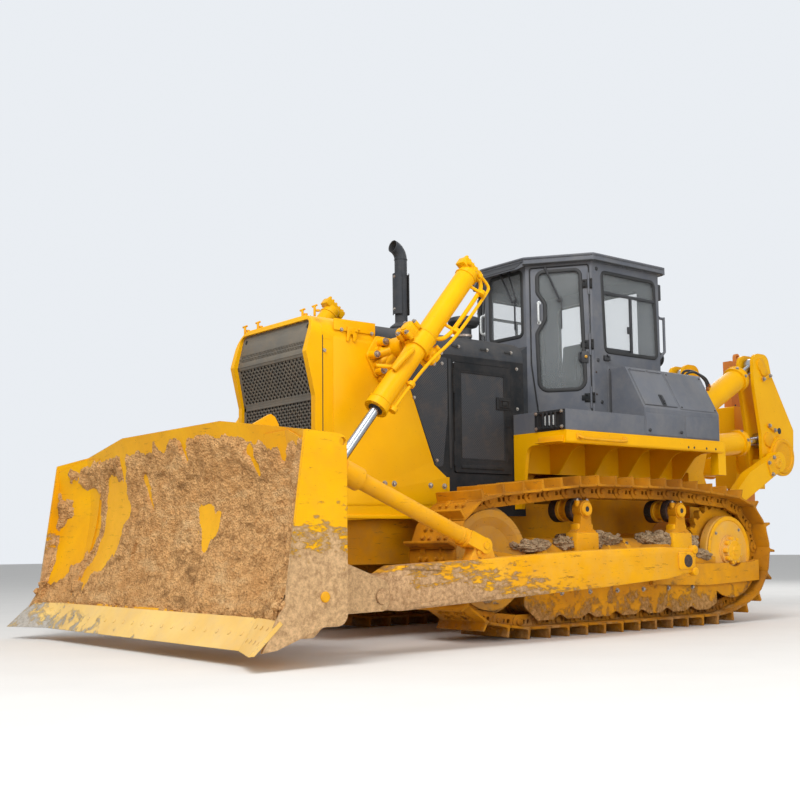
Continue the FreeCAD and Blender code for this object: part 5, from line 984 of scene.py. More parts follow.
def door_wall(out=0.0):
    """The plane of the left door: u runs back from its front corner, v is up and w looks out."""
    return plane((-0.5775, 0.8163, 0), (0, 0, 1), (CAB_FRONT + 0.8163 * out, 0.277 + 0.5775 * out, 0))


def moved(place, pieces):
    """Pieces drawn near the origin, put in their place."""
    for piece in pieces:
        piece.data.transform(place)
    return pieces


def seal(outline, place, radius=0.019):
    """A rubber seal round an opening, flattened on its wall."""
    return pipe(rounded(outline), radius, True, "POLY", 2, place @ Matrix.Diagonal((1, 1, 0.6, 1)))


front_pane = [(-0.228, 2.790, 0.05), (0.228, 2.790, 0.05), (0.228, 3.425, 0.05), (-0.228, 3.425, 0.05)]
side_pane = [(-1.340, 2.612, 0.05), (-0.570, 2.612, 0.05), (-0.540, 3.385, 0.05), (-1.320, 3.385, 0.05)]
rear_pane = [(-0.56, 2.58, 0.05), (0.56, 2.58, 0.05), (0.56, 3.35, 0.05), (-0.56, 3.35, 0.05)]
door_pane = [(0.115, 3.400, 0.06), (0.115, 3.200, 0.06), (0.185, 3.090, 0.06), (0.185, 2.930, 0.06),
             (0.105, 2.800, 0.06), (0.120, 2.240, 0.09), (0.560, 2.240, 0.09), (0.530, 3.400, 0.06)]
door_edge = [(0.040, 3.445, 0.025), (0.040, 2.500, 0.2), (0.107, 1.960, 0.015), (0.617, 1.960, 0.015),
             (0.617, 3.445, 0.025)]
fit("window_seals", [seal(front_pane, view("x", CAB_FRONT)), seal(rear_pane, view("x", CAB_REAR))], "rubber")
fit("side_window_seals", [seal(side_pane, view("y", CAB_SIDE))], "rubber", both=True)
fit("door_seal_left", [seal(door_pane, door_wall(0.004))], "rubber", "cab_door_left", True)
fit("doorway_seals", [pipe(rounded(door_edge), 0.0045, True, "POLY", 1, door_wall(0.001))], "rubber",
    both=True)

# Bars that part the side window, and the sash of its sliding pane
bars = [block((-0.935, CAB_SIDE - 0.002, 3.185), (0.775, 0.020, 0.030), 0.004),
        block((-0.955, CAB_SIDE - 0.002, 2.890), (0.030, 0.020, 0.57), 0.004),
        block((-0.760, CAB_SIDE - 0.012, 2.640), (0.37, 0.016, 0.030), 0.004),
        block((-0.905, CAB_SIDE + 0.010, 2.850), (0.030, 0.020, 0.070), 0.006)]
fit("side_window_bars", bars, "moulding", both=True)
bars = [block((CAB_REAR + 0.002, 0, 2.640), (0.020, 1.12, 0.024), 0.004),
        block((CAB_REAR + 0.002, 0, 2.96), (0.020, 0.024, 0.72), 0.004)]
fit("rear_window_bars", bars, "moulding")

# Door hinges: a leaf on the door and one on the post, with their bolts
leaves = []
posts = []
hinge_bolts = []
post_bolts = []
for z in DOOR_HINGES:
    leaves.append(block((0.575, z, 0.008), (0.056, 0.086, 0.009), 0.003))
    leaves.append(block((0.535, z, 0.007), (0.030, 0.052, 0.007), 0.003))
    posts.append(block((0.634, z, 0.005), (0.024, 0.100, 0.010), 0.003))
    hinge_bolts += [(0.570, z + dz, 0.012) for dz in (-0.026, 0.026)]
    post_bolts += [(0.635, z + dz, 0.010) for dz in (-0.034, 0.034)]
place = door_wall()
fit("door_hinge_leaves_left", moved(place, leaves), "black", "cab_door_left", True)
fit("post_hinge_leaves", moved(place, posts), "black", both=True)
fit("door_hinge_bolts_left", moved(place, [bolts(0.016, hinge_bolts, (0, 0, 1))]), "black", "cab_door_left",
    True)
fit("post_hinge_bolts", moved(place, [bolts(0.014, post_bolts, (0, 0, 1))]), "black", both=True)

# Door latch with its push button, and the grab handle in the notch of the window
latch = [block((0.552, 2.545, 0.012), (0.078, 0.110, 0.018), 0.006),
         pipe([(0.525, 2.500, 0.018), (0.510, 2.500, 0.050), (0.510, 2.545, 0.054), (0.510, 2.590, 0.050),
               (0.525, 2.590, 0.018)], 0.008)]
fit("door_latch_left", moved(place, latch), "moulding", "cab_door_left", True)
fit("latch_button_left", moved(place, [rod((0.572, 2.545, 0.018), (0.572, 2.545, 0.030), 0.015, 20, 0.003)]),
    "brass", "cab_door_left", True)
grab = [pipe([(0.128, 2.905, 0.004), (0.128, 2.905, 0.040), (0.128, 2.940, 0.046), (0.128, 3.060, 0.046),
              (0.128, 3.095, 0.040), (0.128, 3.095, 0.004)], 0.011, sides=3)]
grab += [rod((0.128, z, 0.003), (0.128, z, 0.012), 0.020, 16, 0.003) for z in (2.905, 3.095)]
fit("door_grab_left", moved(place, grab), "pale_rail", "cab_door_left", True)

# Paired wiper arms over the windshield
GLASS = CAB_FRONT + 0.012
wiper = [rod((GLASS - 0.02, y, z), (GLASS + 0.014, y, z), 0.017, 16, 0.003) for y, z in ((-0.055, 3.452), (0.060, 3.448))]
wiper += [rod((GLASS + 0.010, -0.055, 3.452), (GLASS + 0.010, 0.110, 3.140), 0.010, 8),
          rod((GLASS + 0.010, 0.060, 3.448), (GLASS + 0.010, 0.165, 3.150), 0.008, 8),
          block((GLASS + 0.008, 0.137, 3.140), (0.010, 0.070, 0.018), 0.003),
          block((GLASS + 0.004, 0.136, 3.010), (0.008, 0.012, 0.300), 0.002),
          block((GLASS - 0.003, 0.136, 3.010), (0.012, 0.004, 0.300), 0.001)]
fit("wiper", wiper, "moulding")
door_wiper = [rod((0.200, 3.425, 0.000), (0.200, 3.425, 0.020), 0.016, 16, 0.003),
              rod((0.200, 3.425, 0.016), (0.330, 3.120, 0.016), 0.010, 8),
              block((0.330, 3.110, 0.014), (0.060, 0.018, 0.010), 0.003),
              block((0.345, 2.990, 0.010), (0.012, 0.320, 0.008), 0.002)]
fit("door_wiper_left", moved(place, door_wiper), "moulding", "cab_door_left", True)

# Roof: rolled rim, black bead under the roof's edge, visor cover and the low beacon
roof_plan = [(0.020, 0.307, 0.05), (-0.375, 0.850, 0.05), (-1.440, 0.850, 0.05), (-1.440, -0.850, 0.05),
             (-0.375, -0.850, 0.05), (0.020, -0.307, 0.05)]
fit("roof_rim", [pipe(rounded(roof_plan), 0.013, True, "POLY", 2, view("z", 3.533)),
                 plate([(x * 0.93 - 0.04, y * 0.90, 0.08) for x, y, _ in roof_plan], 0.014, view("z", 3.549), 0.005)],
    "dark")
fit("roof_edge_bead", [pipe(rounded(roof_plan), 0.008, True, "POLY", 1, view("z", EAVES + 0.004))], "rubber")
fit("visor_cover", [plate([(-0.300, 0.0, 0.02), (-0.300, 0.172), (0.300, 0.172), (0.300, 0.0, 0.02)], 0.006,
                          slanted((0.127, 3.424), (-0.010, 3.528)), 0.002)], "moulding")
fit("roof_beacon", [turned([(0, 0.0), (0.052, 0.0), (0.052, 0.006), (0.040, 0.009), (0.036, 0.016), (0, 0.018)],
                           (-0.42, 0.36, 3.545), (0, 0, 1), 24)], "moulding")

# Small things on the cab's side: bolted panel, plugs, switch box and rear lamp box
fit("cab_side_panel", [
    plate([(-0.735, 1.985, 0.015), (-0.735, 2.470, 0.015), (-0.590, 2.470, 0.015), (-0.590, 1.985, 0.015)], 0.006,
          view("y", CAB_SIDE + 0.002), 0.001),
    plate([(-1.375, 1.985, 0.015), (-1.375, 2.470, 0.015), (-0.780, 2.470, 0.015), (-0.780, 1.985, 0.015)], 0.006,
          view("y", CAB_SIDE + 0.002), 0.001)], "dark", both=True)
fit("cab_side_bolts", [bolts(0.014, [(x, CAB_SIDE, z) for x, z in (
    (-0.430, 2.400), (-0.430, 2.187), (-0.441, 1.985), (-0.613, 2.440), (-0.641, 2.058), (-0.706, 2.250),
    (-0.810, 2.440), (-0.810, 2.020), (-1.345, 2.440), (-1.345, 2.020), (-1.08, 2.440))], SIDE)], "cast",
    both=True)
plugs = [turned([(0.0, 0.012), (0.014, 0.010), (0.020, 0.0), (0.0, 0.0)], (x, CAB_SIDE, z), SIDE, 16)
         for x, z in ((-0.470, 3.408), (-0.500, 2.118), (-0.460, 2.520))]
plugs += [block((-0.575, CAB_SIDE + 0.012, 2.545), (0.080, 0.026, 0.050), 0.005),
          rod((-0.590, CAB_SIDE + 0.024, 2.555), (-0.545, CAB_SIDE + 0.040, 2.575), 0.006, 10)]
fit("cab_side_fittings", plugs, "moulding", both=True)
rear_box = [block((CAB_REAR - 0.028, 0.735, 3.300), (0.060, 0.110, 0.165), 0.010),
            block((CAB_REAR - 0.061, 0.735, 3.300), (0.010, 0.085, 0.130), 0.004)]
fit("rear_corner_boxes", rear_box, "moulding", both=True)
fit("rear_lamp_lens", [turned([(0, 0.010), (0.035, 0.008), (0.062, 0.0), (0, 0.0)], (-1.5203, 0.660, 2.640), (-1, 0, 0), 28)],
    "lens")
fit("rear_lamp_rim", [turned([(0.062, -0.004), (0.080, -0.004), (0.080, 0.008), (0.066, 0.012), (0.062, 0.006)],
                             (-1.5203, 0.660, 2.640), (-1, 0, 0), 32)], "moulding")
feet = []
for z in (3.040, 2.600):
    feet.append(rod((CAB_REAR - 0.001, 0.770, z), (CAB_REAR - 0.012, 0.770, z), 0.030, 20, 0.003))
fit("rail_feet", feet, "black", both=True)

# Fenders: lamp cage, grab bar, step, beam holes and bolts
FENDER_EDGE = 1.250
LAMP = 0.491
cage = [plate([(0.884, 1.777, 0.016), (0.884, 1.942, 0.016), (1.232, 1.942, 0.016), (1.232, 1.777, 0.016)], 0.010,
              view("x", LAMP + 0.003), 0.003,
              holes=[[(0.925, 1.800, 0.016), (0.925, 1.919, 0.016), (1.191, 1.919, 0.016), (1.191, 1.800, 0.016)]])]
cage += [rod((LAMP + 0.004, y, 1.790), (LAMP + 0.004, y, 1.930), 0.012, 10) for y in (0.985, 1.035, 1.085, 1.135)]
fit("lamp_cage", cage, "black", both=True)
glow = plate([(0.990, 1.815, 0.02), (0.990, 1.905, 0.02), (1.130, 1.905, 0.02), (1.130, 1.815, 0.02)], 0.008,
             view("x", LAMP - 0.010), 0.002)
fit("lamp_lens", [glow], "lens", both=True)
fit("lamp_bolts", [bolts(0.024, [(LAMP + 0.008, y, z) for y in (0.903, 1.213) for z in (1.792, 1.927)], (1, 0, 0))],
    "bolt", both=True)
rail = [pipe([(0.330, 1.248, 1.715), (0.330, 1.288, 1.700), (0.290, 1.290, 1.690), (0.02, 1.290, 1.688),
              (-0.240, 1.290, 1.688), (-0.280, 1.288, 1.700), (-0.280, 1.248, 1.715)], 0.012, sides=3)]
rail += [block((x, 1.254, 1.712), (0.060, 0.010, 0.050), 0.003) for x in (0.330, -0.280)]
rail += [block((0.512, 1.070, 1.665), (0.058, 0.300, 0.012), 0.003),
         block((0.492, 1.070, 1.690), (0.012, 0.300, 0.050), 0.003)]
fit("deck_grab_bar", rail, "yellow_dusty", both=True)
# Painted shade: black discs for the holes in the beam
fit("beam_holes", [rod((x, FENDER_EDGE - 0.004, 1.684), (x, FENDER_EDGE + 0.0008, 1.684), 0.012, 16)
                   for x in (-1.208, -1.296, -1.487, -1.633)], "rubber", both=True)
tread = block((0, 0, 1.7665), (0.010, 0.020, 0.003), 0, (0, 0, 45))
rows = [Matrix.Translation((0.030 + 0.110 * row, 1.160 - 0.034 * col - 0.017 * (row % 2), 0))
        for row in range(4) for col in range(8)]
fit("deck_tread", [copies(tread, rows)], "yellow_dusty", both=True)

# Toolbox: lid rim and latch, lower door with knobs, and the seams of its plates
BOX_TOP = (1.020, 2.440)
BOX_SHOULDER = (1.238, 2.030)


def box_slope(out=0.0):
    """The slanted face: u runs towards the rear, v up the slope and w looks out."""
    rise = Vector((0, BOX_TOP[0] - BOX_SHOULDER[0], BOX_TOP[1] - BOX_SHOULDER[1])).normalized()
    side = Vector((-1, 0, 0)).cross(rise)
    return plane((-1, 0, 0), rise, Vector((0, *BOX_SHOULDER)) + side * out)


slope = box_slope()
SLOPE_LENGTH = math.dist(BOX_TOP, BOX_SHOULDER)
lid_rim = plate([(0.622, 0.037, 0.015), (0.622, SLOPE_LENGTH - 0.037, 0.015), (1.093, SLOPE_LENGTH - 0.037, 0.015),
                 (1.093, 0.037, 0.015)], 0.006, box_slope(0.004), 0.002)
fit("lid_skin_left", [lid_rim], "dark", "toolbox_lid_left", True)
handle = [plate([(0.873, 0.038, 0.008), (0.873, 0.162, 0.008), (0.933, 0.162, 0.008), (0.933, 0.038, 0.008)], 0.010,
                box_slope(0.009), 0.003),
          plate([(0.887, 0.054, 0.006), (0.887, 0.146, 0.006), (0.919, 0.146, 0.006), (0.919, 0.054, 0.006)], 0.012,
                box_slope(0.018), 0.003),
          rod(slope @ Vector((0.903, 0.082, 0.020)), slope @ Vector((0.903, 0.082, 0.030)), 0.010, 16, 0.002)]
fit("lid_latch_left", handle, "moulding", "toolbox_lid_left", True)
low_door = [plate([(-1.160, 1.778, 0.012), (-1.160, 1.985, 0.012), (-0.605, 1.985, 0.012), (-0.605, 1.778, 0.012)],
                  0.008, view("y", 1.239), 0.002),
            plate([(-1.690, 1.778, 0.012), (-1.690, 1.985, 0.012), (-1.190, 1.985, 0.012), (-1.190, 1.778, 0.012)],
                  0.008, view("y", 1.239), 0.002)]
fit("toolbox_panels", low_door, "dark", both=True)
knobs = [turned([(0, 0.020), (0.012, 0.018), (0.017, 0.010), (0.012, 0.0), (0, 0.0)], (x, 1.243, 1.820), SIDE, 18)
         for x in (-0.645, -1.110)]
fit("toolbox_knobs", knobs, "moulding", both=True)
rear_skin = plate([(1.135, 0.018, 0.012), (1.135, SLOPE_LENGTH - 0.012, 0.012), (1.700, SLOPE_LENGTH - 0.012, 0.012),
                   (1.700, 0.018, 0.012)], 0.006, box_slope(0.002), 0.002)
fit("toolbox_slope_skin", [rear_skin], "dark", both=True)
fit("toolbox_bolts", [bolts(0.013, [slope @ Vector((u, v, 0.004)) for u in (1.160, 1.675) for v in (0.04, 0.42)],
                            slope.to_3x3() @ Vector((0, 0, 1)))], "cast", both=True)

# Undercarriage: roller treads and caps, pedestal boxes, frame bands, covers, hub and bolts
CARRIERS = (0.295, -1.007)
CARRIER_Z = 1.073
FRAME_FACE = 1.260
COVER_FACE = 1.238
HUB_FACE = 1.310
HUB = (-1.800, 0.695)


def ring_of(count, radius, y, start=0.0, centre=HUB):
    """Points on a circle round a wheel's axis."""
    spots = []
    for i in range(count):
        a = math.radians(start + 360 * i / count)
        spots.append((centre[0] + radius * math.cos(a), y, centre[1] + radius * math.sin(a)))
    return spots


treads = [turned([(0.080, y0), (0.104, y0), (0.106, y0 + 0.006), (0.106, y1 - 0.006), (0.104, y1), (0.080, y1)],
                 (x, 0, CARRIER_Z), SIDE, 32) for x in CARRIERS for y0, y1 in ((0.928, 1.008), (1.128, 1.192))]
fit("carrier_treads", treads, "cast", both=True)
caps = []
cap_bores = []
cap_bolts = []
for x in CARRIERS:
    caps.append(block((x, 1.232, 0.752), (0.290, 0.140, 0.240), 0.020))
    caps.append(block((x, 1.226, 0.905), (0.200, 0.100, 0.090), 0.018))
    caps.append(turned([(0.024, 0.0), (0.064, 0.0), (0.064, 0.014), (0.056, 0.022), (0.030, 0.022), (0.024, 0.016)],
                       (x, 1.284, CARRIER_Z), SIDE, 28))
    for side in (-1, 1):
        caps.append(rod((x + side * 0.062, 1.238, 1.096), (x + side * 0.062, 1.238, 1.150), 0.024, 14, 0.004))
        cap_bolts.append((x + side * 0.062, 1.238, 1.150))
    cap_bores.append(rod((x, 1.270, CARRIER_Z), (x, 1.300, CARRIER_Z), 0.024, 20))
fit("carrier_caps", caps, "yellow_dusty", both=True)
fit("carrier_cap_bolts", [bolts(0.026, cap_bolts, (0, 0, 1)),
                          bolts(0.026, [(x + dx, 1.302, 0.70) for x in CARRIERS for dx in (-0.11, 0.11)], SIDE)],
    "bolt", both=True)
# Painted shade: a black disc for the bore in each cap
fit("carrier_bores", cap_bores, "rubber", both=True)
bands = [turned([(0.180, -w), (0.191, -w), (0.193, 0.0), (0.191, w), (0.180, w)], (x, 1.070, 0.640), (1, 0, 0), 40)
         for x, w in ((0.78, 0.030), (0.52, 0.010), (-0.06, 0.012), (-0.32, 0.030), (-0.62, 0.012), (-1.22, 0.030))]
fit("housing_bands", bands, "yellow_dusty", both=True)
fit("housing_bolts", [bolts(0.024, [(x, 1.205, 0.775) for x in (0.78, -0.32)], (0, 0.6, 0.8)),
                      bolts(0.030, [(x, FRAME_FACE, z) for x in (0.60, 0.245, -0.11, -0.465, -0.82, -1.175)
                                    for z in (0.36, 0.47)], SIDE),
                      bolts(0.022, ring_of(4, 0.262, COVER_FACE, 40), SIDE)], "bolt", both=True)
hub = [turned([(0.0, 0.018), (0.040, 0.016), (0.048, 0.006), (0.092, 0.004), (0.100, -0.004), (0.100, -0.040),
               (0.0, -0.040)], (HUB[0], HUB_FACE, HUB[1]), SIDE, 40),
       turned([(0.290, -0.004), (0.334, -0.004), (0.336, 0.004), (0.318, 0.010), (0.296, 0.008), (0.290, 0.0)],
              (HUB[0], COVER_FACE, HUB[1]), SIDE, 48)]
hub += [rod((x, 1.262, z), (x, HUB_FACE - 0.002, z), 0.028, 16, 0.004) for x, y, z in ring_of(9, 0.108, 0)]
fit("hub_cap", hub, "yellow_arm", both=True)


# Dried soil that lies on the roller frames: lumps of crumbs heaped round the pedestals
def heap(centre, size, spin):
    """A low heap of soil: a crumbly mound with loose clods lying on it."""
    clods = [((0, 0, -0.2), 0.85)]
    clods += [((DRAW.uniform(-0.9, 0.9), DRAW.uniform(-0.7, 0.7), DRAW.uniform(0.0, 0.8)), DRAW.uniform(0.18, 0.50))
              for _ in range(14)]
    lumps = []
    for i, (spot, reach) in enumerate(clods):
        bpy.ops.mesh.primitive_ico_sphere_add(subdivisions=4 if i == 0 else 3, radius=1, location=(0, 0, 0))
        lump = bpy.context.object
        for vertex in lump.data.vertices:
            shift = noise.fractal(vertex.co * 1.9 + Vector((spin + i, 0, 0)), 0.7, 2.2, 5)
            vertex.co *= 1 + 0.30 * shift
        even = (size[0] * size[1] * size[2]) ** (1 / 3) * reach
        form = Matrix.Diagonal((*size, 1)) if i == 0 else Matrix.Diagonal((even * 1.2, even, even * 0.9, 1))
        lump.data.transform(Matrix.Translation(Vector(centre) + Vector([a * b for a, b in zip(spot, size)])) @ form)
        lumps.append(lump)
    return joined(lumps)


heaps = []
for i, (x, y, z, a, b, c) in enumerate((
        (0.500, 1.20, 0.780, 0.13, 0.08, 0.06), (0.120, 1.19, 0.800, 0.12, 0.08, 0.07),
        (-0.100, 1.17, 0.815, 0.16, 0.07, 0.05), (-0.800, 1.20, 0.800, 0.15, 0.09, 0.08),
        (-0.620, 1.18, 0.810, 0.11, 0.07, 0.05), (-1.230, 1.18, 0.790, 0.12, 0.08, 0.08),
        (-1.380, 1.20, 0.660, 0.12, 0.10, 0.05), (0.900, 1.17, 0.760, 0.20, 0.10, 0.05),
        (1.350, 1.05, 0.300, 0.22, 0.14, 0.06), (-0.35, 1.34, 0.655, 0.14, 0.09, 0.03),
        (0.295, 1.02, 0.780, 0.13, 0.10, 0.09), (-1.007, 1.02, 0.780, 0.13, 0.10, 0.09))):
    heaps.append(heap((x, y, z), (a, b, c), i * 3.7))
fit("frame_soil", heaps, "soil_dark", both=True)

# Push arms with their rear caps, plugs and front eyes
ARM_Y = 1.600
arm_side = [(-0.665, 0.520, 0.050), (-0.269, 0.462), (0.608, 0.411), (2.710, 0.310, 0.060), (2.973, 0.340, 0.060),
            (2.973, 0.500, 0.060), (2.705, 0.630, 0.060), (0.596, 0.720), (-0.215, 0.739), (-0.665, 0.722, 0.050)]
arm = [plate(arm_side, 0.200, view("y", ARM_Y), 0.010)]
arm.append(rod((-0.555, 1.480, 0.614), (-0.555, 1.690, 0.614), 0.100, 32, 0.006))
arm.append(plate([(-0.640, 0.545, 0.03), (-0.640, 0.690, 0.03), (-0.420, 0.700, 0.03), (-0.420, 0.535, 0.03)], 0.012,
                 view("y", 1.705), 0.004))
for z in (0.520, 0.712):
    arm.append(rod((-0.640, 1.660, z), (-0.640, 1.722, z), 0.040, 24, 0.010))
arm.append(plate([(1.716, 0.640), (1.786, 0.825, 0.050), (1.906, 0.825, 0.050), (1.996, 0.640)], 0.100,
                 view("y", ARM_Y), 0.006))
arm.append(rod((2.893, 1.460, 0.420), (2.893, 1.740, 0.420), 0.045, 28, 0.004))
arm.append(rod((2.893, 1.492, 0.420), (2.893, 1.708, 0.420), 0.085, 32, 0.006))
arm.append(turned([(0.0, 0.012), (0.018, 0.012), (0.030, 0.006), (0.052, 0.006), (0.056, 0.0), (0.0, 0.0)],
                  (2.893, 1.740, 0.420), SIDE, 28))
for x, z in ((2.45, 0.350), (2.45, 0.610)):
    arm.append(block((x, 1.702, z), (0.42, 0.010, 0.030), 0.003, (0, 3 if z < 0.5 else -3, 0)))
fit("push_arm_beams", arm, "yellow_arm", "blade", True, ["push_arms"])
fit("arm_plugs", [rod((-0.545, 1.706, 0.614), (-0.545, 1.716, 0.614), 0.056, 32, 0.003)], "cast", "blade",
    True)

# Blade: soil caked on its face, thin where the yellow still shows through
BLADE_TOP = ((0.0, 1.688), (0.806, 1.688), (1.600, 1.577), (1.990, 1.524))
face_tree = BVHTree.FromPolygons([v.co[:] for v in NODES["blade_moldboard"].data.vertices],
                                 [p.vertices[:] for p in NODES["blade_moldboard"].data.polygons])


def blade_edge_z(y):
    """The height of the blade's upper edge."""
    y = abs(y)
    for (y0, z0), (y1, z1) in zip(BLADE_TOP, BLADE_TOP[1:]):
        if y <= y1:
            return z0 + (z1 - z0) * (y - y0) / (y1 - y0)
    return BLADE_TOP[-1][1]


def near(y, z, line, half):
    """How deep a point lies in a band round a line of (y, z) points: 1 on the line, 0 at its edge and less outside."""
    best = 9.0
    for (y0, z0), (y1, z1) in zip(line, line[1:]):
        run = Vector((y1 - y0, z1 - z0))
        share = max(0.0, min(1.0, Vector((y - y0, z - z0)).dot(run) / run.length_squared))
        best = min(best, (Vector((y, z)) - Vector((y0, z0)) - run * share).length)
    return 1 - best / half


def inside(y, z, outline):
    """How deep a point lies in an outline of (y, z) points, and how far outside as a number below 0."""
    odd = False
    best = 9.0
    for (y0, z0), (y1, z1) in zip(outline, outline[1:] + outline[:1]):
        if (z0 > z) != (z1 > z) and y < y0 + (y1 - y0) * (z - z0) / (z1 - z0):
            odd = not odd
        across, rise = y1 - y0, z1 - z0
        share = max(0.0, min(1.0, ((y - y0) * across + (z - z0) * rise) / (across * across + rise * rise)))
        best = min(best, math.hypot(y - y0 - across * share, z - z0 - rise * share))
    return best if odd else -best


# Bare swathes as outlines of (y, z), and narrow ones as (line of (y, z) points, half-width)
SWATHES = (
    [(-1.950, 1.420), (-1.440, 1.270), (-1.350, 0.960), (-1.590, 0.660), (-1.980, 0.420), (-1.940, 0.660),
     (-1.980, 0.900), (-1.800, 1.140)],
    [(-1.200, 1.420), (-0.850, 1.330), (-0.760, 1.040), (-0.940, 0.760), (-1.410, 0.470), (-1.520, 0.520),
     (-1.340, 0.760), (-1.270, 1.120)],
    [(0.380, 1.070), (0.770, 1.060), (0.720, 0.900), (0.540, 0.780), (0.440, 0.870)],
)
BARE = (
    (((-0.490, 1.340), (-0.330, 1.090)), 0.050),
    (((-0.520, 0.790), (-0.550, 0.690)), 0.045),
    (((1.130, 1.450), (1.230, 1.290)), 0.050),
    (((0.200, 1.640), (0.240, 1.450)), 0.060),
    (((-0.900, 1.640), (-0.860, 1.440)), 0.080),
    (((1.500, 1.560), (1.560, 1.380)), 0.050),
)
ACROSS = 340
UP = 130
SOIL_FOOT = 0.300
FACE_FOOT = 0.335
soil_mesh = bmesh.new()
rows = []
for j in range(UP + 1):
    row = []
    for i in range(ACROSS + 1):
        y = -1.988 + 3.976 * i / ACROSS
        top = blade_edge_z(y) - 0.012
        z = SOIL_FOOT + (top - SOIL_FOOT) * j / UP
        across = max(-1.970, min(1.970, y))
        spot = face_tree.ray_cast(Vector((4.4, across, max(z, FACE_FOOT))), Vector((-1, 0, 0)), 2.0)[0]
        x = spot.x if spot else 3.6
        broad = noise.fractal(Vector((y * 1.5, z * 1.5, 2.0)), 0.8, 2.0, 4)
        lumps = noise.fractal(Vector((y * 7.0, z * 7.0, 8.0)), 0.75, 2.1, 6)
        grain = noise.fractal(Vector((y * 26.0, z * 26.0, 5.0)), 0.8, 2.0, 4)
        cover = 0.70 + 0.25 * broad + 0.20 * lumps
        streak = noise.fractal(Vector((y * 5.0, z * 1.1, 11.0)), 0.8, 2.0, 5)
        for outline in SWATHES:
            depth = inside(y, z, outline)
            if depth > -0.25:
                cover -= max(0.0, 0.75 + depth / 0.085 + 0.9 * lumps + 0.7 * streak)
        for line, half in BARE:
            cover -= 1.5 * max(0.0, near(y, z, line, half) + 0.35 * lumps + 0.25 * streak)
        rim = 0.150 + 0.110 * streak + 0.060 * lumps
        cover -= max(0.0, 1.25 - (top - z) / max(0.03, rim)) * 1.2
        cover = max(-1.0, min(1.0, cover * 2.2))
        thick = 0.020 + 0.030 * broad + 0.020 * lumps + 0.008 * grain
        corner = max(0.0, (abs(y) - 1.80) / 0.18) * max(0.0, (1.2 - z))
        thick = max(0.006, thick + 0.030 * corner)
        x += thick * cover if cover > 0 else 0.020 * cover
        row.append(soil_mesh.verts.new((x, y, z)))
    rows.append(row)
for lower, upper in zip(rows, rows[1:]):
    for a, b, c, d in zip(lower, lower[1:], upper[1:], upper):
        if not (a.co.x < 3.0 or b.co.x < 3.0):
            soil_mesh.faces.new((a, b, c, d))
sheet_mesh = bpy.data.meshes.new("blade_soil")
soil_mesh.to_mesh(sheet_mesh)
soil_mesh.free()
soil_sheet = bpy.data.objects.new("blade_soil", sheet_mesh)
bpy.context.scene.collection.objects.link(soil_sheet)
packed = [heap((3.850, s * 1.950, 0.380), (0.060, 0.045, 0.110), 40 + s) for s in (-1, 1)]
fit("blade_soil", [soil_sheet] + packed, "soil_blade", "blade")

# Plough bolts along the cutting edge and on both end bits, and the pin boss on the end plate


def edge_spot(y, share):
    """A point on the cutting edge's face, its share of the way up, in front of the bolt holes."""
    out = max(0.0, (abs(y) - 1.600) / 0.390)
    low = Vector((3.969 + 0.168 * out, y, 0.105))
    high = Vector((3.822 + 0.090 * out, y, 0.311))
    return low.lerp(high, share)


EDGE_OUT = Vector((0.814, 0, 0.581))
head = turned([(0.0, 0.005), (0.010, 0.005), (0.016, 0.003), (0.017, 0.0), (0.0, 0.0)], (0, 0, 0), (0, 0, 1), 18)
places = [at(edge_spot(-1.52 + 0.16 * i, 0.50), EDGE_OUT) for i in range(20)]
for s in (-1, 1):
    toward = Vector((0.74, -s * 0.36, 0.57))
    places += [at(edge_spot(s * y, 0.74), toward) for y in (1.68, 1.80, 1.92)]
    places += [at(edge_spot(s * y, 0.34), toward) for y in (1.66, 1.77, 1.88, 1.97)]
fit("edge_bolts", [copies(head, places)], "yellow_edge", "blade")
boss = [turned([(0.0, 0.012), (0.030, 0.012), (0.036, 0.006), (0.036, 0.0), (0.0, 0.0)], (3.575, 2.0155, 0.448), SIDE, 24)]
fit("end_plate_boss", boss, "yellow_dusty", "blade", True)

# Brace and tilt cylinder: collars at both ends, and the clevis pin and its bolt at the lower end
for side, name in ((1, "brace"), (-1, "tilt")):
    low = Vector((1.846, side * ARM_Y, 0.765))
    high = Vector((3.380, side * ARM_Y, 1.400))
    run = (high - low).normalized()
    collars = [rod(low + run * s, low + run * (s + w), r, 32, 0.004) for s, w, r in
               ((0.150, 0.035, 0.072), (0.215, 0.012, 0.068), (1.30, 0.030, 0.072))]
    collars += [rod((low.x, low.y - 0.060, low.z), (low.x, low.y + 0.060, low.z), 0.040, 24, 0.004),
                rod((low.x + 0.06, low.y + 0.030, low.z - 0.05), (low.x + 0.06, low.y + 0.064, low.z - 0.05), 0.020, 16,
                    0.003)]
    fit(name + "_collars", collars, "yellow_dusty", "blade")
    fit(name + "_bolts", [bolts(0.036, [(low.x, low.y + 0.060 * side, low.z)], (0, side, 0))], "bolt", "blade")

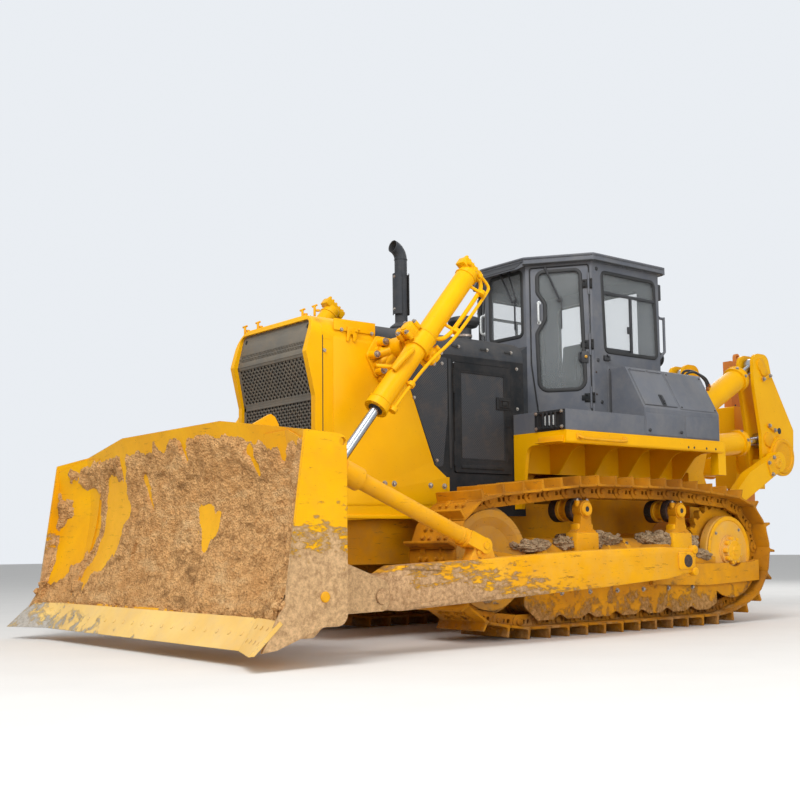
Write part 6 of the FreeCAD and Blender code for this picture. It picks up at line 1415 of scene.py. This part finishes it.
# Ripper: pin caps, keeper bars, boss dishes, arm-head plates, gland rings and the shank's holes
RIPPER_Y = 0.480
CARRIER_FACE = 0.590
ARM_FACE = 0.740
RIPPER_CYLINDERS = {"upper": ((-2.170, 2.066), (-3.420, 2.765), 1.110), "lower": ((-2.270, 1.775), (-3.515, 1.922), 0.870)}
caps = [plate([(-3.335, 2.790, 0.05), (-3.430, 2.850, 0.05), (-3.545, 2.680, 0.05), (-3.440, 2.625, 0.05)], 0.018,
              view("y", CARRIER_FACE + 0.009), 0.004),
        turned([(0.0, 0.020), (0.070, 0.020), (0.082, 0.014), (0.086, 0.0), (0.0, 0.0)], (-3.515, CARRIER_FACE, 1.922),
               SIDE, 36),
        turned([(0.0, 0.010), (0.150, 0.010), (0.158, 0.022), (0.186, 0.022), (0.196, 0.014), (0.200, 0.0), (0.0, 0.0)],
               (-3.742, CARRIER_FACE + 0.030, 1.742), SIDE, 48),
        block((-3.572, CARRIER_FACE + 0.010, 2.057), (0.150, 0.020, 0.038), 0.005, (0, -23.6, 0)),
        block((-3.507, CARRIER_FACE + 0.010, 2.628), (0.170, 0.020, 0.038), 0.005, (0, 21.2, 0))]
fit("ripper_caps", caps, "yellow_dusty", "ripper_carrier", both=True)
fit("ripper_keeper_bolts", [bolts(0.034, [(x, CARRIER_FACE + 0.020, z) for x, z in (
    (-3.520, 2.080), (-3.625, 2.034), (-3.445, 2.604), (-3.570, 2.652))], SIDE)], "bolt", "ripper_carrier",
    True)
# Painted shade: a black disc for the lift hole
fit("ripper_lift_holes", [rod((-3.735, CARRIER_FACE - 0.006, 2.032), (-3.735, CARRIER_FACE + 0.001, 2.032), 0.036, 24)],
    "rubber", "ripper_carrier", True)
head_plate = [plate([(-3.395, 1.745, 0.04), (-3.235, 1.665, 0.04), (-3.310, 1.485, 0.04), (-3.440, 1.530, 0.04),
                     (-3.520, 1.640, 0.06), (-3.480, 1.730, 0.05)], 0.014, view("y", ARM_FACE + 0.007), 0.004),
              turned([(0.0, 0.016), (0.018, 0.016), (0.024, 0.024), (0.048, 0.024), (0.056, 0.016), (0.060, 0.0),
                      (0.0, 0.0)], (-3.440, ARM_FACE + 0.012, 1.640), SIDE, 32)]
fit("arm_head_plates", head_plate, "yellow_dusty", "ripper_arm", both=True)
fit("arm_head_bolts", [bolts(0.032, [(-3.362, ARM_FACE + 0.014, 1.705), (-3.268, ARM_FACE + 0.014, 1.642),
                                     (-3.330, ARM_FACE + 0.014, 1.518)], SIDE)], "bolt", "ripper_arm", True)
for row, (base, tip, gland_at) in RIPPER_CYLINDERS.items():
    foot = Vector((base[0], RIPPER_Y, base[1]))
    run = (Vector((tip[0], RIPPER_Y, tip[1])) - foot).normalized()
    over = Vector((run.z, 0, -run.x))
    rings = [turned([(0.122, -0.008), (0.146, -0.006), (0.148, 0.0), (0.146, 0.006), (0.122, 0.008)],
                    foot + run * (gland_at - back), run, 40) for back in (0.014, 0.072)]
    fit("ripper_" + row + "_rings", rings, "yellow", "ripper_" + row + "_barrels", both=True)
    seals = [turned([(0.052, -0.002), (0.078, -0.002), (0.078, 0.010), (0.070, 0.014), (0.052, 0.014)],
                    foot + run * gland_at, run, 36)]
    fit("ripper_" + row + "_seals", seals, "rubber", "ripper_" + row + "_barrels", True)
    spots = [foot + run * (gland_at - 0.043) + (over * math.cos(a) + Vector((0, math.sin(a), 0))) * 0.141
             for a in (0.5, 1.4)]
    heads = [bolts(0.026, [spot], spot - foot - run * (gland_at - 0.043)) for spot in spots]
    fit("ripper_" + row + "_gland_bolts", heads, "bolt", "ripper_" + row + "_barrels", True)
# Painted shade: black cylinders filling the shank's holes
shank_holes = [rod((x, -0.0562, z), (x, 0.0562, z), r, 24) for x, z, r in (
    (-3.822, 2.290, 0.042), (-3.822, 2.560, 0.042), (-3.822, 2.800, 0.042), (-3.680, 2.376, 0.014))]
fit("shank_holes", shank_holes, "rubber", "ripper_carrier")

# Hydraulic hoses over the upper cylinder, from a riser at its foot to a copper-plated fitting on its barrel
HOSES = (((-2.170, 0.455, 2.515), (-2.168, 0.455, 2.560), (-2.220, 0.458, 2.612), (-2.340, 0.462, 2.622),
          (-2.470, 0.466, 2.590), (-2.560, 0.470, 2.560), (-2.600, 0.472, 2.520), (-2.612, 0.474, 2.492)),
         ((-2.150, 0.520, 2.480), (-2.148, 0.520, 2.530), (-2.190, 0.520, 2.580), (-2.320, 0.520, 2.600),
          (-2.430, 0.518, 2.560), (-2.500, 0.514, 2.520), (-2.530, 0.510, 2.480), (-2.540, 0.508, 2.452)))
HOSE = 0.026


def hose_line(points):
    """A hose as one open spline."""
    piece = line_curve(points, False, "NURBS")
    piece.data.splines[0].use_endpoint_u = True
    piece.data.splines[0].order_u = 3
    piece.data.bevel_depth = HOSE / 2
    piece.data.bevel_resolution = 4
    piece.data.use_fill_caps = True
    return piece


def run_length(points):
    """The length of a hose's spline."""
    bare = line_curve(points, False, "NURBS")
    bare.data.splines[0].resolution_u = 24
    bpy.context.view_layer.update()
    mesh = bpy.data.meshes.new_from_object(bare)
    total = sum((mesh.vertices[e.vertices[0]].co - mesh.vertices[e.vertices[1]].co).length for e in mesh.edges)
    bpy.data.objects.remove(bare)
    bpy.data.meshes.remove(mesh)
    return total


for side, word in ((1, "left"), (-1, "right")):
    risers = []
    fittings = []
    for i, points in enumerate(HOSES):
        points = [Vector((x, y * side, z)) for x, y, z in points]
        start, end = points[0], points[-1]
        risers.append(rod((start.x - 0.06, start.y, 2.235), (start.x - 0.06, start.y, 2.300), 0.022, 16, 0.003))
        risers.append(pipe([(start.x - 0.06, start.y, 2.290), (start.x - 0.06, start.y, 2.380), (start.x, start.y, 2.400),
                            tuple(start)], 0.012, sides=3))
        fittings.append(rod(start - Vector((0, 0, 0.035)), start + Vector((0, 0, 0.006)), 0.018, 6, 0.001))
        fall = (end - points[-2]).normalized()
        fittings.append(rod(end - fall * 0.006, end + fall * 0.040, 0.018, 6, 0.001))
        foot_z = 2.066 + (-2.170 - end.x) * 0.5592 + 0.138
        fittings.append(rod(end + fall * 0.038, (end.x - 0.004, end.y, foot_z), 0.013, 12))
        hose = hose_line([tuple(p) for p in points])
        hose.name = "ripper_hose_" + word + "_" + str(i + 1)
        hose.data.materials.append(MAT["rubber"])
        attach(hose, "ripper_upper_barrels")
        run_length([tuple(p) for p in points])
    fit("ripper_hose_risers_" + word, risers, "yellow_dusty", "ripper_upper_barrels")
    fit("ripper_hose_fittings_" + word, fittings, "copper", "ripper_upper_barrels")

# Holes in the wall under the fender, drawn as black discs of painted shade
fit("wall_holes", [rod((x, 0.596, z), (x, 0.6016, z), 0.016, 16) for x, z in (
    (-0.02, 1.62), (-0.03, 1.53), (-0.25, 1.61), (-0.36, 1.60), (-0.47, 1.60), (-0.24, 1.52), (-0.35, 1.50), (-0.48, 1.51),
    (-0.58, 1.58), (-0.75, 1.58), (-1.14, 1.60), (-1.22, 1.61))], "rubber", both=True)


# Operator's seat and controls
def cushion(name, profile, half, place, swell):
    """A padded cushion: its foam pressed out against the sewn cover by a cloth simulation."""
    piece = plate(profile, half * 2, place, 0.012)
    modify(piece, "REMESH", mode="VOXEL", voxel_size=0.009)
    start = [v.co.copy() for v in piece.data.vertices]
    alone(piece)
    cloth = piece.modifiers.new("cloth", "CLOTH")
    cloth.settings.use_pressure = True
    cloth.settings.uniform_pressure_force = 4
    cloth.settings.effector_weights.gravity = 0
    for step in range(1, 21):
        bpy.context.scene.frame_set(step)
    bpy.ops.object.modifier_apply(modifier=cloth.name)
    for vertex, before in zip(piece.data.vertices, start):
        shift = vertex.co - before
        if shift.length > swell:
            vertex.co = before + shift.normalized() * swell
    bpy.context.scene.frame_set(1)
    modify(piece, "SMOOTH", iterations=4, factor=0.5)
    modify(piece, "SUBSURF", levels=1, render_levels=1)
    fit(name, [piece], "vinyl")
    return piece


base_cushion = [(-1.108, 2.148, 0.03), (-1.108, 2.243, 0.03), (-0.900, 2.236), (-0.665, 2.246, 0.04), (-0.655, 2.150, 0.04)]
back_cushion = [(-1.130, 2.225, 0.03), (-1.026, 2.225, 0.04), (-1.018, 2.500), (-1.072, 2.865, 0.04), (-1.168, 2.865, 0.04)]
cushion("seat_cushion", base_cushion, 0.245, view("y", 0), 0.010)
cushion("seat_back_cushion", back_cushion, 0.235, view("y", 0), 0.010)
welt = [pipe(rounded([(-1.098, -0.235, 0.05), (-1.098, 0.235, 0.05), (-0.668, 0.235, 0.06), (-0.668, -0.235, 0.06)]),
             0.004, True, "POLY", 1, view("z", 2.1980))]
welt += [rod((-1.085, y, 2.244), (-0.690, y, 2.246), 0.0035, 8) for y in (-0.13, 0.13)]
fit("seat_piping", welt, "rubber")
shell = [block((-0.920, 0, 1.960), (0.290, 0.330, 0.260), 0.015), block((-0.905, 0, 2.128), (0.400, 0.400, 0.030), 0.008),
         block((-0.920, 0, 1.822), (0.318, 0.358, 0.030), 0.006)]
shell += [block((-0.920, 0, z), (0.306, 0.346, 0.018), 0.008) for z in (1.880, 1.925, 1.970, 2.015, 2.060)]
shell += [rod((-0.700, y, 2.118), (-0.660, y, 2.105), 0.009, 12, 0.002) for y in (-0.15, 0.15)]
fit("seat_mount", shell, "moulding", replaces=["operator_seat"])
stalks = []
for s in (-1, 1):
    for x in (-0.640, -0.560):
        stalks.append(turned([(0.0, 0.040), (0.010, 0.036), (0.016, 0.024), (0.024, 0.012), (0.038, 0.004), (0.040, 0.0),
                              (0.0, 0.0)], (x, s * 0.415, 2.3656), (0, 0, 1), 20))
        stalks.append(turned([(0.0, -0.052), (0.010, -0.050), (0.015, -0.040), (0.017, -0.018), (0.014, -0.004),
                              (0.006, 0.0), (0.0, 0.0)], (x, s * 0.415, 2.6050), (0, 0, 1), 20))
    stalks.append(plate([(-0.985, 0.345, 0.02), (-0.985, 0.485, 0.02), (-0.720, 0.485, 0.02), (-0.720, 0.345, 0.02)], 0.022,
                        view("z", 2.3766) @ Matrix.Scale(s, 4, (0, 1, 0)), 0.006))
stalks.append(plate([(-0.175, 2.615, 0.02), (-0.175, 2.450, 0.02), (0.175, 2.450, 0.02), (0.175, 2.615, 0.02)], 0.008,
                    plane((0, 1, 0), (0, 0, 1), (-0.333, 0, 0)), 0.002))
for piece in stalks:
    outward(piece)
fit("control_details", stalks, "moulding")
dials = [turned([(0.0, 0.003), (r - 0.005, 0.003), (r - 0.004, 0.007), (r, 0.007), (r, 0.0), (0.0, 0.0)],
                (-0.337, y, 2.540), (-1, 0, 0), 28) for y, r in ((-0.115, 0.036), (0.0, 0.048), (0.115, 0.036))]
fit("dials", dials, "pale_rail")
